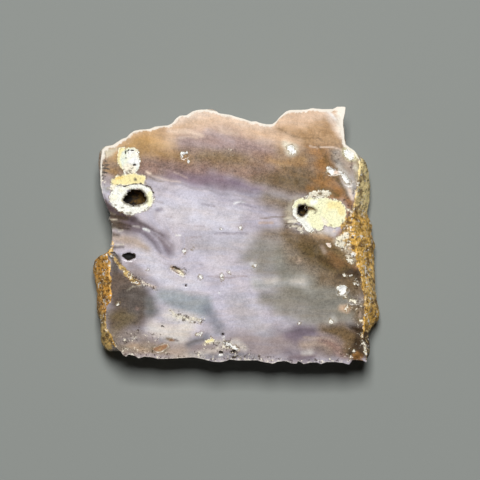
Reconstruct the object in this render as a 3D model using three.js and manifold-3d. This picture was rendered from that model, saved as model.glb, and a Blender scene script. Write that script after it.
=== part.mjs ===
// A sawn slab of banded purple chalcedony, broken out of a nodule. The upper face is cut flat and
// polished, the lower face is cut flat and left sawn, and the walls between them are natural:
// ochre rind that flares outwards on the right and the lower left, broken stone elsewhere.
// Two tube-shaped hollows, each in a crust, and a scatter of smaller vugs open in the polished face.
// Millimetres, +Z up. The origin is on the sawn lower face; +Y is towards the spur.

import * as THREE from "three";
import { mergeVertices } from "three/addons/utils/BufferGeometryUtils.js";
import Module from "manifold-3d";

const THICKNESS = 16;

// The widest outline seen from above, clockwise from the left. The third number is how far inside
// it the polished face ends, so it is the width of wall that shows from above.
const OUTLINE = [
  // Left wall above the notch
  [-38.4, 16.0, 1.0],
  [-38.7, 18.0, 1.3],
  [-38.7, 20.5, 1.4],
  [-38.5, 22.5, 1.4],
  [-37.9, 24.0, 1.1],
  [-36.8, 24.9, 0.9],
  [-34.6, 25.2, 0.7],
  // Upper edge, rising to its crest
  [-33.2, 26.0, 0.6],
  [-31.9, 26.8, 0.5],
  [-30.9, 27.1, 0.5],
  [-29.8, 28.3, 0.6],
  [-28.6, 29.1, 0.6],
  [-26.8, 29.4, 0.5],
  [-24.2, 29.6, 0.5],
  [-22.6, 30.3, 0.5],
  [-19.2, 30.6, 0.5],
  [-18.0, 31.3, 0.6],
  [-16.8, 32.7, 0.6],
  [-15.9, 33.4, 0.6],
  [-13.8, 33.5, 0.5],
  [-12.3, 34.5, 0.5],
  [-10.6, 35.0, 0.5],
  [-8.2, 35.1, 0.5],
  [-7.2, 34.9, 0.6],
  [-5.6, 34.8, 0.7],
  // Down into the dip
  [-4.8, 34.1, 0.6],
  [-2.3, 33.8, 0.6],
  [0.2, 33.1, 0.5],
  [2.9, 32.2, 0.5],
  [4.2, 31.9, 0.6],
  [5.7, 32.0, 0.7],
  [6.5, 31.5, 0.6],
  [8.4, 31.0, 0.5],
  [10.1, 31.0, 0.5],
  [11.2, 31.8, 0.5],
  [12.2, 33.0, 0.5],
  [13.9, 34.5, 0.5],
  [15.2, 34.9, 0.5],
  [19.3, 34.9, 0.4],
  [21.3, 35.3, 0.4],
  [24.0, 35.0, 0.4],
  [27.0, 35.1, 0.5],
  // Spur
  [28.3, 35.9, 0.7],
  [29.4, 36.0, 0.8],
  [30.8, 36.0, 0.9],
  [30.7, 34.8, 0.9],
  [30.2, 32.2, 1.0],
  [30.2, 30.8, 1.0],
  [30.6, 29.2, 1.1],
  [30.6, 27.0, 1.0],
  [30.9, 25.3, 0.8],
  // Right shoulder
  [31.8, 24.6, 0.7],
  [33.3, 23.5, 0.7],
  [34.3, 22.3, 0.9],
  [35.4, 21.2, 1.4],
  [36.3, 19.3, 2.3],
  // Right rind
  [36.9, 17.0, 3.2],
  [37.2, 14.0, 3.9],
  [37.2, 11.0, 4.3],
  [36.9, 8.6, 4.3],
  [36.3, 6.6, 3.9],
  [36.8, 5.0, 4.4],
  [37.8, 3.4, 5.0],
  [38.0, 1.5, 5.4],
  [37.8, 0.0, 5.2],
  [38.4, -1.8, 5.2],
  [38.8, -3.2, 5.4],
  [38.3, -5.0, 5.0],
  [38.6, -7.2, 5.1],
  [38.6, -9.5, 4.8],
  [38.6, -12.5, 3.9],
  [38.7, -15.2, 3.8],
  [39.1, -17.5, 4.1],
  [39.6, -20.3, 4.0],
  [40.0, -21.8, 4.4],
  [39.8, -23.5, 4.5],
  [38.4, -25.0, 3.4],
  [37.3, -26.1, 2.2],
  [36.8, -28.0, 1.7],
  [37.1, -30.5, 1.6],
  [37.0, -32.1, 1.2],
  [36.5, -34.0, 0.6],
  [36.2, -35.5, 0.3],
  // Ragged lower edge
  [35.3, -35.0, 0.3],
  [33.6, -34.8, 0.3],
  [32.3, -34.8, 0.3],
  [31.3, -36.0, 0.2],
  [29.2, -35.5, 0.2],
  [27.2, -35.3, 0.2],
  [25.2, -35.3, 0.2],
  [23.5, -35.9, 0.2],
  [22.4, -35.4, 0.2],
  [20.4, -35.5, 0.2],
  [18.8, -35.9, 0.2],
  [17.2, -35.0, 0.2],
  [16.7, -35.9, 0.2],
  [15.3, -35.7, 0.2],
  [14.0, -35.1, 0.2],
  [11.7, -35.2, 0.2],
  [10.2, -35.8, 0.2],
  [7.4, -35.3, 0.2],
  [5.8, -34.9, 0.2],
  [0.2, -34.9, 0.2],
  [-1.8, -34.6, 0.2],
  [-2.9, -35.1, 0.2],
  [-4.4, -35.4, 0.2],
  [-6.9, -35.2, 0.2],
  [-9.2, -34.5, 0.2],
  [-12.0, -34.0, 0.2],
  [-16.0, -34.3, 0.2],
  [-21.6, -34.5, 0.2],
  [-23.2, -34.0, 0.2],
  [-25.6, -33.8, 0.2],
  [-27.0, -34.3, 0.2],
  [-28.2, -33.6, 0.2],
  [-29.9, -33.2, 0.2],
  [-30.6, -33.9, 0.3],
  [-31.6, -33.4, 0.4],
  [-32.3, -32.7, 0.6],
  // Lower left rind
  [-33.6, -32.4, 1.2],
  [-35.2, -32.7, 2.4],
  [-36.3, -32.0, 3.0],
  [-37.6, -30.0, 3.6],
  [-37.9, -28.7, 3.0],
  [-37.6, -27.3, 1.6],
  [-37.8, -25.6, 1.7],
  [-37.7, -24.2, 1.7],
  [-38.4, -22.6, 2.4],
  [-38.7, -21.4, 2.8],
  [-38.8, -20.6, 4.3],
  [-38.9, -18.5, 4.4],
  [-38.8, -16.5, 4.2],
  [-39.0, -14.0, 4.1],
  [-39.5, -11.8, 4.5],
  [-40.0, -9.4, 4.9],
  [-39.5, -7.4, 3.9],
  [-38.3, -5.8, 2.2],
  [-37.0, -5.4, 1.2],
  // Notch in the left side
  [-35.9, -4.7, 0.7],
  [-35.3, -3.6, 0.7],
  [-35.1, -1.5, 0.9],
  [-35.0, 1.0, 0.8],
  [-35.2, 3.2, 0.8],
  [-35.7, 4.6, 0.8],
  [-35.3, 5.7, 0.6],
  [-36.1, 7.6, 0.5],
  [-36.9, 9.6, 0.5],
  [-37.5, 11.8, 0.5],
  [-38.0, 13.8, 0.6],
];

// Wall rings
const OUTLINE_STEP = 1.05; // longest edge along a ring
const RING_DEPTHS = [0, 0.5, 1.4, 2.8, 4.6, 6.6, 8.7, 10.8, 12.8, 14.6, THICKNESS];
const BELLY_DEPTH = 1.0; // depth of the widest ring where no wall shows
const BELLY_PER_WALL = 2.5; // extra depth of the widest ring per millimetre of wall that shows
const DEEPEST_BELLY = 11.5;
const BASE_INSET = 1.0; // how far the sawn base stays inside the widest outline at the sides
const FRONT_UNDERCUT = 3.6; // extra inset under the ragged lower edge
const BACK_UNDERCUT = 1.4; // extra inset under the upper edge
const SOFTENING = 5; // points to each side over which teeth and corners even out with depth
const SOFT_DEPTH = 6.0; // how far below the widest ring they have evened out
const FADE_DEPTH = 1.0; // over which breaks and ripples set in below the widest ring
const RIND_WALL = 2.0; // walls wider than this carry rind
const RIND_LUMP = 0.34; // height of the rind's lumps
const FRACTURE_RELIEF = 0.3; // depth of the ripples in broken stone

// Shell-shaped breaks in the walls, in two staggered rows around the slab
const BREAK_COUNT = 34;
const BREAK_DEPTHS = [3.5, 13]; // range of depths of their centres below the face
const BREAK_HALF_WIDTHS = [3.2, 6.4]; // range along the wall
const BREAK_HALF_HEIGHTS = [3.0, 5.6];
const BREAK_BITES = [0.7, 1.9]; // range of depths bitten out of the wall
const RIND_BREAK_SHARE = 0.12; // how much of a bite is left where there is rind

// Hollows in the polished face: centre x, y, half length, half width, turn in degrees, depth
const LEFT_TUBE = [-27.9, 10.2, 3.3, 2.35, 5, 7.2];
const RIGHT_TUBE = [18.3, 6.7, 1.45, 1.7, -25, 5.6];
const TUBE_TAIL = [20.3, 7.3, 1.5, 0.55, -12, 1.3];
const DARK_VUG = [-29.7, -5.9, 1.75, 1.0, 0, 1.5];
const EDGE_CRACK = [-34.2, -6.0, 2.0, 0.42, -47, 2.4];
const LENS_VUG = [-16.2, -9.9, 2.1, 0.62, -32, 0.9];
const UPPER_DRUSE = [26.6, 17.5, 1.45, 0.8, -8, 0.9];
const LOWER_DRUSE = [30.2, 15.4, 2.1, 0.8, -52, 0.8];
const RIGHT_DRUSE = [29.4, -15.3, 1.5, 1.15, 20, 0.8];
const RIM_DRUSE = [32.3, -18.3, 1.5, 0.7, -15, 0.7];
const SHADE_VUG = [29.9, -11.2, 1.9, 0.5, -8, 0.8];
const CORNER_VUG = [35.9, -28.4, 0.75, 1.9, 8, 3.4];
const CREST_VUG = [-14.2, 21.9, 0.8, 0.6, 40, 0.5];
const PITS = [
  [-3.7, -27.5, 0.55, 0.45, 0, 0.9],
  [-4.3, -32.5, 0.75, 0.45, 0, 1.1],
  [-0.8, -32.4, 1.1, 0.6, 10, 1.2],
  [-0.6, -33.9, 0.8, 0.4, 0, 0.7],
  [-13.9, -14.0, 0.4, 0.4, 0, 0.7],
  [-30.3, 22.6, 0.5, 0.75, 20, 0.8],
  [-28.2, 19.2, 0.5, 0.35, 0, 0.6],
];
const TUBE_SIDES = 30;
const PIT_SIDES = 14;
const SKY = 1.0; // how far the cutting plugs stand above the face

// Share of full size at each share of depth, from the mouth to the blind end
const TUBE_PROFILE = [
  [0.0, 1.0],
  [0.22, 0.9],
  [0.5, 0.97],
  [0.78, 0.74],
  [0.93, 0.4],
];
const PIT_PROFILE = [
  [0.0, 1.0],
  [0.55, 0.74],
  [0.9, 0.36],
];

const SMALLEST_DETAIL = 0.02; // slivers left by the cuts are closed up to this
const STONE_COLOUR = 0xbdb2b8;

const wasm = await Module();
wasm.setup();

const radians = THREE.MathUtils.degToRad;

// Number i of a fixed sequence spread evenly over the range from low to high
function spread(i, pace, [low, high]) {
  return low + (high - low) * ((i * pace) % 1);
}

// The outline, with each long edge divided evenly. Each point has its bearing from the centre and
// a soft reach, which is the outline's reach there with teeth and corners taken off.
function outlinePoints() {
  const points = [];
  OUTLINE.forEach(([x, y, wall], i) => {
    const [nextX, nextY, nextWall] = OUTLINE[(i + 1) % OUTLINE.length];
    const pieces = Math.ceil(Math.hypot(nextX - x, nextY - y) / OUTLINE_STEP);
    for (let k = 0; k < pieces; k++) {
      const t = k / pieces;
      const px = THREE.MathUtils.lerp(x, nextX, t);
      const py = THREE.MathUtils.lerp(y, nextY, t);
      points.push({
        x: px,
        y: py,
        reach: Math.hypot(px, py),
        wall: THREE.MathUtils.lerp(wall, nextWall, t),
        bearing: Math.atan2(py, px),
      });
    }
  });
  points.reverse(); // anticlockwise
  points.forEach((point, i) => {
    let total = 0;
    for (let k = -SOFTENING; k <= SOFTENING; k++) {
      total += points[(i + k + points.length) % points.length].reach;
    }
    point.soft = Math.min(point.reach, total / (2 * SOFTENING + 1));
  });
  return points;
}

// Depth of the widest ring below the face
function bellyDepth({ wall }) {
  return Math.min(BELLY_DEPTH + BELLY_PER_WALL * wall, DEEPEST_BELLY);
}

// How far inside the widest outline the wall lies at a depth below the face
function wallInset({ wall, bearing }, depth, belly) {
  if (depth <= belly) {
    return wall * (1 - depth / belly) ** 2;
  }
  const front = Math.max(0, -Math.sin(bearing)) ** 2;
  const back = Math.max(0, Math.sin(bearing)) ** 2;
  const inset = BASE_INSET + FRONT_UNDERCUT * front + BACK_UNDERCUT * back;
  const share = (depth - belly) / (THICKNESS - belly);
  return inset * share ** 1.3;
}

// How much of the wall at a point is rind, from 0 to 1
function rindShare({ wall }) {
  return THREE.MathUtils.smoothstep(wall, RIND_WALL / 2, RIND_WALL);
}

// How far the shell-shaped breaks bite into the wall. Where two meet, the deeper one counts, so
// their common border is a sharp ridge.
function breakBite(point, depth) {
  let bite = 0;
  for (let i = 0; i < BREAK_COUNT; i++) {
    const turn = point.bearing - (i / BREAK_COUNT) * 2 * Math.PI;
    const away = Math.atan2(Math.sin(turn), Math.cos(turn)) * point.reach;
    const across = away / spread(i, 0.57, BREAK_HALF_WIDTHS);
    const down = (depth - spread(i, 0.618, BREAK_DEPTHS)) / spread(i, 0.31, BREAK_HALF_HEIGHTS);
    const hollow = spread(i, 0.43, BREAK_BITES) * (1 - across * across - down * down);
    bite = Math.max(bite, hollow);
  }
  return bite * THREE.MathUtils.lerp(1, RIND_BREAK_SHARE, rindShare(point));
}

// Ripples in broken stone, inwards only
function ripples(point, depth) {
  const along = point.bearing * point.reach;
  const waves =
    Math.sin(along * 0.61 + depth * 0.83) +
    Math.sin(along * 1.27 - depth * 1.14 + 1.7) +
    Math.sin(along * 0.36 - depth * 1.9 + 4.1);
  return FRACTURE_RELIEF * (1 - waves / 3);
}

// Lumps in the rind, outwards and inwards
function rindLumps(point, depth) {
  const along = point.bearing * point.reach;
  return RIND_LUMP * Math.sin(along * 1.9 + 0.6) * Math.sin(depth * 1.5 + along * 0.3);
}

// A closed mesh from rings of equal length, each a list of Vector3, capped flat at both ends
function loft(rings) {
  const count = rings[0].length;
  const positions = rings.flat().flatMap((p) => [p.x, p.y, p.z]);
  const index = [];
  for (let r = 0; r + 1 < rings.length; r++) {
    for (let i = 0; i < count; i++) {
      const a = r * count + i;
      const b = r * count + ((i + 1) % count);
      index.push(a, a + count, b, b, a + count, b + count);
    }
  }
  const capFirst = THREE.ShapeUtils.triangulateShape(
    rings[0].map((p) => new THREE.Vector2(p.x, p.y)),
    [],
  );
  const last = (rings.length - 1) * count;
  const capLast = THREE.ShapeUtils.triangulateShape(
    rings[rings.length - 1].map((p) => new THREE.Vector2(p.x, p.y)),
    [],
  );
  capFirst.forEach(([a, b, c]) => index.push(a, b, c));
  capLast.forEach(([a, b, c]) => index.push(last + a, last + c, last + b));
  const geometry = new THREE.BufferGeometry();
  geometry.setAttribute("position", new THREE.Float32BufferAttribute(positions, 3));
  geometry.setIndex(index);
  return geometry;
}

// How far inside the outline's reach the wall lies, with all its relief
function fullInset(point, depth) {
  const belly = bellyDepth(point);
  const below = depth - belly;
  const rind = rindShare(point);
  const softness = (1 - rind) * THREE.MathUtils.smoothstep(below, 0, SOFT_DEPTH);
  const broken = breakBite(point, depth) + (1 - rind) * ripples(point, depth);
  return (
    wallInset(point, depth, belly) +
    softness * (point.reach - point.soft) +
    broken * THREE.MathUtils.smoothstep(below, 0, FADE_DEPTH) -
    rind * rindLumps(point, depth) * THREE.MathUtils.smoothstep(depth, 0, FADE_DEPTH)
  );
}

// The slab without its hollows: rings from the polished face down to the sawn base
function slabGeometry() {
  const outline = outlinePoints();
  const rings = RING_DEPTHS.map((depth) =>
    outline.map((point) => {
      const share = (point.reach - fullInset(point, depth)) / point.reach;
      return new THREE.Vector3(point.x * share, point.y * share, THICKNESS - depth);
    }),
  );
  return loft(rings);
}

// A plug the shape of one hollow, standing SKY above the face
function hollowGeometry([x, y, halfLength, halfWidth, degrees, depth], profile, sides) {
  const turn = radians(degrees);
  const ring = (share, z) =>
    Array.from({ length: sides }, (_, i) => {
      const angle = (i / sides) * 2 * Math.PI;
      const wobble = 1 + 0.07 * Math.sin(3 * angle + x) + 0.05 * Math.sin(5 * angle + y);
      const u = halfLength * share * wobble * Math.cos(angle);
      const v = halfWidth * share * wobble * Math.sin(angle);
      return new THREE.Vector3(
        x + u * Math.cos(turn) - v * Math.sin(turn),
        y + u * Math.sin(turn) + v * Math.cos(turn),
        z,
      );
    });
  const rings = profile.map(([down, share]) => ring(share, THICKNESS - depth * down));
  rings.unshift(ring(1, THICKNESS + SKY));
  return loft(rings);
}

function solidOf(geometry) {
  const merged = mergeVertices(geometry, 1e-4);
  return new wasm.Manifold(
    new wasm.Mesh({
      numProp: 3,
      vertProperties: new Float32Array(merged.attributes.position.array),
      triVerts: new Uint32Array(merged.index.array),
    }),
  );
}

function geometryOf(solid) {
  const mesh = solid.getMesh();
  const geometry = new THREE.BufferGeometry();
  geometry.setAttribute("position", new THREE.BufferAttribute(mesh.vertProperties, mesh.numProp));
  geometry.setIndex(new THREE.BufferAttribute(mesh.triVerts, 1));
  geometry.computeVertexNormals();
  return geometry;
}

function chalcedonySlab() {
  const tubes = [LEFT_TUBE, RIGHT_TUBE];
  const pits = [
    TUBE_TAIL,
    DARK_VUG,
    EDGE_CRACK,
    LENS_VUG,
    UPPER_DRUSE,
    LOWER_DRUSE,
    RIGHT_DRUSE,
    RIM_DRUSE,
    SHADE_VUG,
    CORNER_VUG,
    CREST_VUG,
    ...PITS,
  ];
  let slab = solidOf(slabGeometry());
  for (const tube of tubes) {
    slab = slab.subtract(solidOf(hollowGeometry(tube, TUBE_PROFILE, TUBE_SIDES)));
  }
  for (const pit of pits) {
    slab = slab.subtract(solidOf(hollowGeometry(pit, PIT_PROFILE, PIT_SIDES)));
  }
  const material = new THREE.MeshStandardMaterial({
    color: STONE_COLOUR,
    roughness: 0.35,
    metalness: 0,
  });
  const mesh = new THREE.Mesh(geometryOf(slab.simplify(SMALLEST_DETAIL)), material);
  mesh.name = "chalcedony_slab";
  return mesh;
}

const part = new THREE.Group();
part.add(chalcedonySlab());

export default part;
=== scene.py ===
"""A sawn slab of banded purple chalcedony: polished upper face, sawn back, rind and broken walls.

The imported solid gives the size, the outline and the lie of the walls. One fine mesh is laid over it,
with fracture, rind, vugs and pits in its shape. Its banding is worked out for every vertex from named
strokes, and the grain, flecks and polish are made in the material. Lengths are in millimetres until
the mesh is made, with the origin in the middle of the sawn back and +Z out of the polished face.
"""

import math

import bpy
import numpy as np
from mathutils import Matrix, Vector, noise
from mathutils.bvhtree import BVHTree
from mathutils.geometry import delaunay_2d_cdt

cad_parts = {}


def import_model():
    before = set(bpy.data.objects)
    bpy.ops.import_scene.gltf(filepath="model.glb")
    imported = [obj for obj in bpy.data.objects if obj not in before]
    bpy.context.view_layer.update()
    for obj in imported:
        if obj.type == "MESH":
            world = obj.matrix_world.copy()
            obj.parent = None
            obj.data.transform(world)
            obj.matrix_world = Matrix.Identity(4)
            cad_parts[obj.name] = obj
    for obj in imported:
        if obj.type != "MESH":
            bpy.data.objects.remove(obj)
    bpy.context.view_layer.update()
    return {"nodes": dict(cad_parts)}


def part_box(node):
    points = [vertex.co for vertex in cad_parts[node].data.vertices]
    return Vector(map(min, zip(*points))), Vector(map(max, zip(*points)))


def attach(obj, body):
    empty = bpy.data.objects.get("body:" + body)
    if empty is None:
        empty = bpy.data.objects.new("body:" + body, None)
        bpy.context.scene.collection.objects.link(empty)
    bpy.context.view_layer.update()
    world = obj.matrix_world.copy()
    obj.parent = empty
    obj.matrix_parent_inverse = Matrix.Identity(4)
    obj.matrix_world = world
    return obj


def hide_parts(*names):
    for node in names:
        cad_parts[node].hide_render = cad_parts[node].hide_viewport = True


MM = 0.001
NODE = "chalcedony_slab"

# Mesh
COLUMNS = 840  # vertices around the slab
RIM_RAYS = 3600  # bearings at which the rim is first looked up
WALL_STEP = 0.5  # height of a row of wall faces
EDGE_DEPTHS = (0.0, 0.07, 0.2, 0.42, 0.7)  # rows close under the polished edge
BASE_CHAMFER = 0.35
BASE_ROUNDING = 0.22  # how far the wall draws in over the chamfer
FACE_STEP = 0.42
BACK_STEP = 0.85
RIM_MARGIN = 0.3  # clear space between the rim and the first inner vertices
SMOOTHINGS = 2  # how often the solid's facets are evened out
SPECK_RINGS = (0.55, 1.0, 1.5)  # rings of extra vertices around a speck, in radii
SPECK_SIDES = 8
CRACK_ROWS = (-1.7, -0.8, 0, 0.8, 1.7)  # rows of extra vertices along a crack, in half widths
MERGE_STEP = 0.1  # extra vertices in one cell of this size become one
MARK_GAP = 0.16  # between the extra vertices and the plain grid
SAME_POINT = 1e-7  # vertices closer than this are one in the triangulation
SKIN = 0.01  # how far inside the top and bottom planes rays are cast
LEVEL = 1e-6  # a vertex this close to a flat face lies on it
FAR = 70.0

# Colours by place
LIMIT = 3.0  # depths in a mark are kept within this, either way
WALL_LOOKUP = 0.8  # how far inside the rim a wall's colour is looked up
WALL_SLANT = 0.4  # and how much farther in for each step down, so that bands slant down the walls
BAND_DRIFT = (0.25, -0.18)  # how far the banding moves in x and y for each step down
MARGIN_WIDTH = 0.9  # strip along the rim with flecks in it
MARGIN_FLECKS = 0.45
WALL_FLECKS = 0.4  # share of the flecks that is left on the walls and the back

# How borders wander: the size of the noise and how far it shifts a colour
BAND_WARP = (7.0, 1.1)
LAYER_WARP = (1.7, 0.4)
STREAK_WARP = (2.4, 0.25)
FINE_STREAK_WARP = (0.8, 0.12)
MARK_WARP = (1.3, 0.3)
FINE_MARK_WARP = (0.5, 0.14)
WARP_OFFSET = Vector((19.3, -31.7, 47.1))  # between the noise for x and the noise for y
WARP_DEPTH = 0.6  # how fast the noise changes down the walls
LAYER_SQUEEZE = (0.4, 1, 1)  # draws the layers' noise out along x
FRACTAL = (0.9, 2.1, 3)  # how noise is layered: fall in strength, rise in fineness, and layers
SHORTEST = 1e-9  # keeps the length of a stroke with one point above zero
CRACK_SHARE = 0.4  # how much of the marks' shift cracks and pits have

# Relief of the walls
RELIEF_FADE = 1.2  # depth over which it sets in under the polished edge
CHIP_SIZE = 0.9  # chips along the polished edge
CHIP_DEPTH = 0.16
SCOOP_SIZE = 3.6  # width of the shell-shaped breaks
SCOOP_DEPTH = 0.55
RUBBLE_SIZE = 1.1
RUBBLE_DEPTH = 0.16
GRAIN_SIZE = 1.25  # rind
GRAIN_HEIGHT = 0.24
LUMP_SIZE = 4.0
LUMP_HEIGHT = 0.28

# Hollows in the polished face: centre x, y, half length, half width, turn in degrees, depth
LEFT_TUBE = (-27.9, 10.2, 3.3, 2.35, 5, 7.2)
RIGHT_TUBE = (18.3, 6.7, 1.45, 1.7, -25, 5.6)
TUBES = (LEFT_TUBE, RIGHT_TUBE)
PITS = (
    (20.3, 7.3, 1.5, 0.55, -12, 1.3),
    (-29.7, -5.9, 1.75, 1.0, 0, 1.5),
    (-16.2, -9.9, 2.1, 0.62, -32, 0.9),
    (26.6, 17.5, 1.45, 0.8, -8, 0.6),
    (30.2, 15.4, 2.1, 0.8, -52, 0.5),
    (29.4, -15.3, 1.5, 1.15, 20, 0.4),
    (32.3, -18.3, 1.5, 0.7, -15, 0.35),
    (-14.2, 21.9, 0.8, 0.6, 40, 0.5),
    (-3.7, -27.5, 0.55, 0.45, 0, 0.9),
    (-4.3, -32.5, 0.75, 0.45, 0, 1.1),
    (-0.8, -32.4, 1.1, 0.6, 10, 1.2),
    (-0.6, -33.9, 0.8, 0.4, 0, 0.7),
    (-13.9, -14.0, 0.4, 0.4, 0, 0.7),
    (-30.3, 22.6, 0.5, 0.75, 20, 0.8),
    (-28.2, 19.2, 0.5, 0.35, 0, 0.6),
)
# Share of depth and share of full size of each ring, from the mouth to the blind end
TUBE_PROFILE = (
    (0.0, 1.0),
    (0.02, 0.985),
    (0.06, 0.965),
    (0.14, 0.945),
    (0.26, 0.925),
    (0.42, 0.9),
    (0.6, 0.86),
    (0.78, 0.76),
    (0.9, 0.58),
    (0.97, 0.34),
    (1.0, 0.1),
)
PIT_PROFILE = ((0.0, 1.0), (0.18, 0.93), (0.5, 0.8), (0.8, 0.58), (0.95, 0.32), (1.0, 0.08))
RING_STEP = 0.2
MOUTH_WAVES = (0.05, 0.04)  # swell of a mouth in three and in five waves, as shares of its size
RAGGED_MOUTH = 0.13  # how far the rim of a hollow strays besides
RAGGED_SIZE = 0.8
RAGGED_BIAS = 0.3  # keeps most of the raggedness inside the plain mouth
LIP = 0.2  # dark lining around a tube's mouth
CLEARANCE = 0.3  # between a hollow's rim and the plain face's vertices

# Inside the tubes, painted shade: how far from the middle it reaches, in sizes of the mouth, the depths
# over which stone and crust give way to painted darkness, and where across the tube the painted black
# turns to the brown of the lit wall
TUBE_REACH = 1.3
TUBE_SHADE_DEPTHS = (0.1, 0.7)
CRUST_SHADE_DEPTHS = (0.1, 0.8)
CRUST_LOSS = 6  # how far the crust's border is moved back, which clears all of it
TUBE_LIT_SIDE = (-0.6, 0.9)
TUBE_WAVER = 1.2  # how much noise moves that border

# Colours as they look in plain light, 0 to 255. The studio light is a little brighter than plain, so
# that the chalky crusts glare, and the stone is shaded down by STONE_LIGHT to make up for it.
STONE_LIGHT = 0.97
PALETTE = {
    "lavender": (204, 197, 209),
    "pale_lavender": (219, 214, 223),
    "dusk_lavender": (180, 171, 183),
    "grey_lavender": (190, 184, 190),
    "peach": (227, 193, 163),
    "cream_pink": (240, 217, 198),
    "golden_tan": (206, 164, 106),
    "deep_gold": (180, 139, 86),
    "warm_brown": (151, 123, 96),
    "pink_mauve": (168, 140, 133),
    "rose_brown": (148, 119, 108),
    "olive": (132, 110, 76),
    "purple": (134, 112, 128),
    "purple_grey": (124, 111, 124),
    "deep_purple": (80, 64, 66),
    "violet_shadow": (124, 108, 117),
    "brown_grey": (138, 123, 106),
    "dim_brown": (119, 96, 67),
    "dark_olive": (104, 83, 46),
    "dark_brown": (66, 49, 30),
    "red_brown": (155, 110, 70),
    "orange_brown": (159, 113, 61),
    "tan": (186, 149, 108),
    "clear_grey": (140, 135, 124),
    "warm_grey": (151, 145, 137),
    "pale_grey": (178, 176, 172),
    "blue_grey": (163, 168, 174),
    "slate": (128, 130, 140),
    "mauve": (161, 148, 150),
    "smoke": (97, 87, 80),
    "smoke_brown": (106, 90, 79),
    "ash": (118, 117, 114),
    "olive_smoke": (112, 97, 68),
    "cream_white": (228, 219, 209),
    "pink_tan": (190, 169, 152),
    "chalk": (255, 255, 244),
    "green_white": (238, 245, 232),
    "pale_yellow": (253, 237, 170),
    "lemon": (253, 251, 206),
    "gold": (250, 217, 124),
    "cream": (252, 243, 220),
    "bone": (228, 219, 196),
    "white": (255, 255, 252),
    "ochre": (186, 137, 58),
    "khaki": (172, 153, 102),
    "black": (18, 14, 11),
    "umber": (58, 42, 20),
    # brown of a tube's lit wall, for the painted shade inside the tubes
    "lit_tube_brown": (112, 84, 32),
    "rind_ochre": (216, 167, 74),
    "rind_orange": (216, 153, 54),
    "rind_khaki": (248, 224, 160),
    "rind_olive": (186, 156, 96),
    "rind_gold": (238, 196, 116),
    "rind_brown": (104, 70, 28),
    "pale_ochre": (238, 208, 146),
    "crust_line": (128, 106, 66),
    "edge_cream": (252, 244, 230),
}

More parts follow.
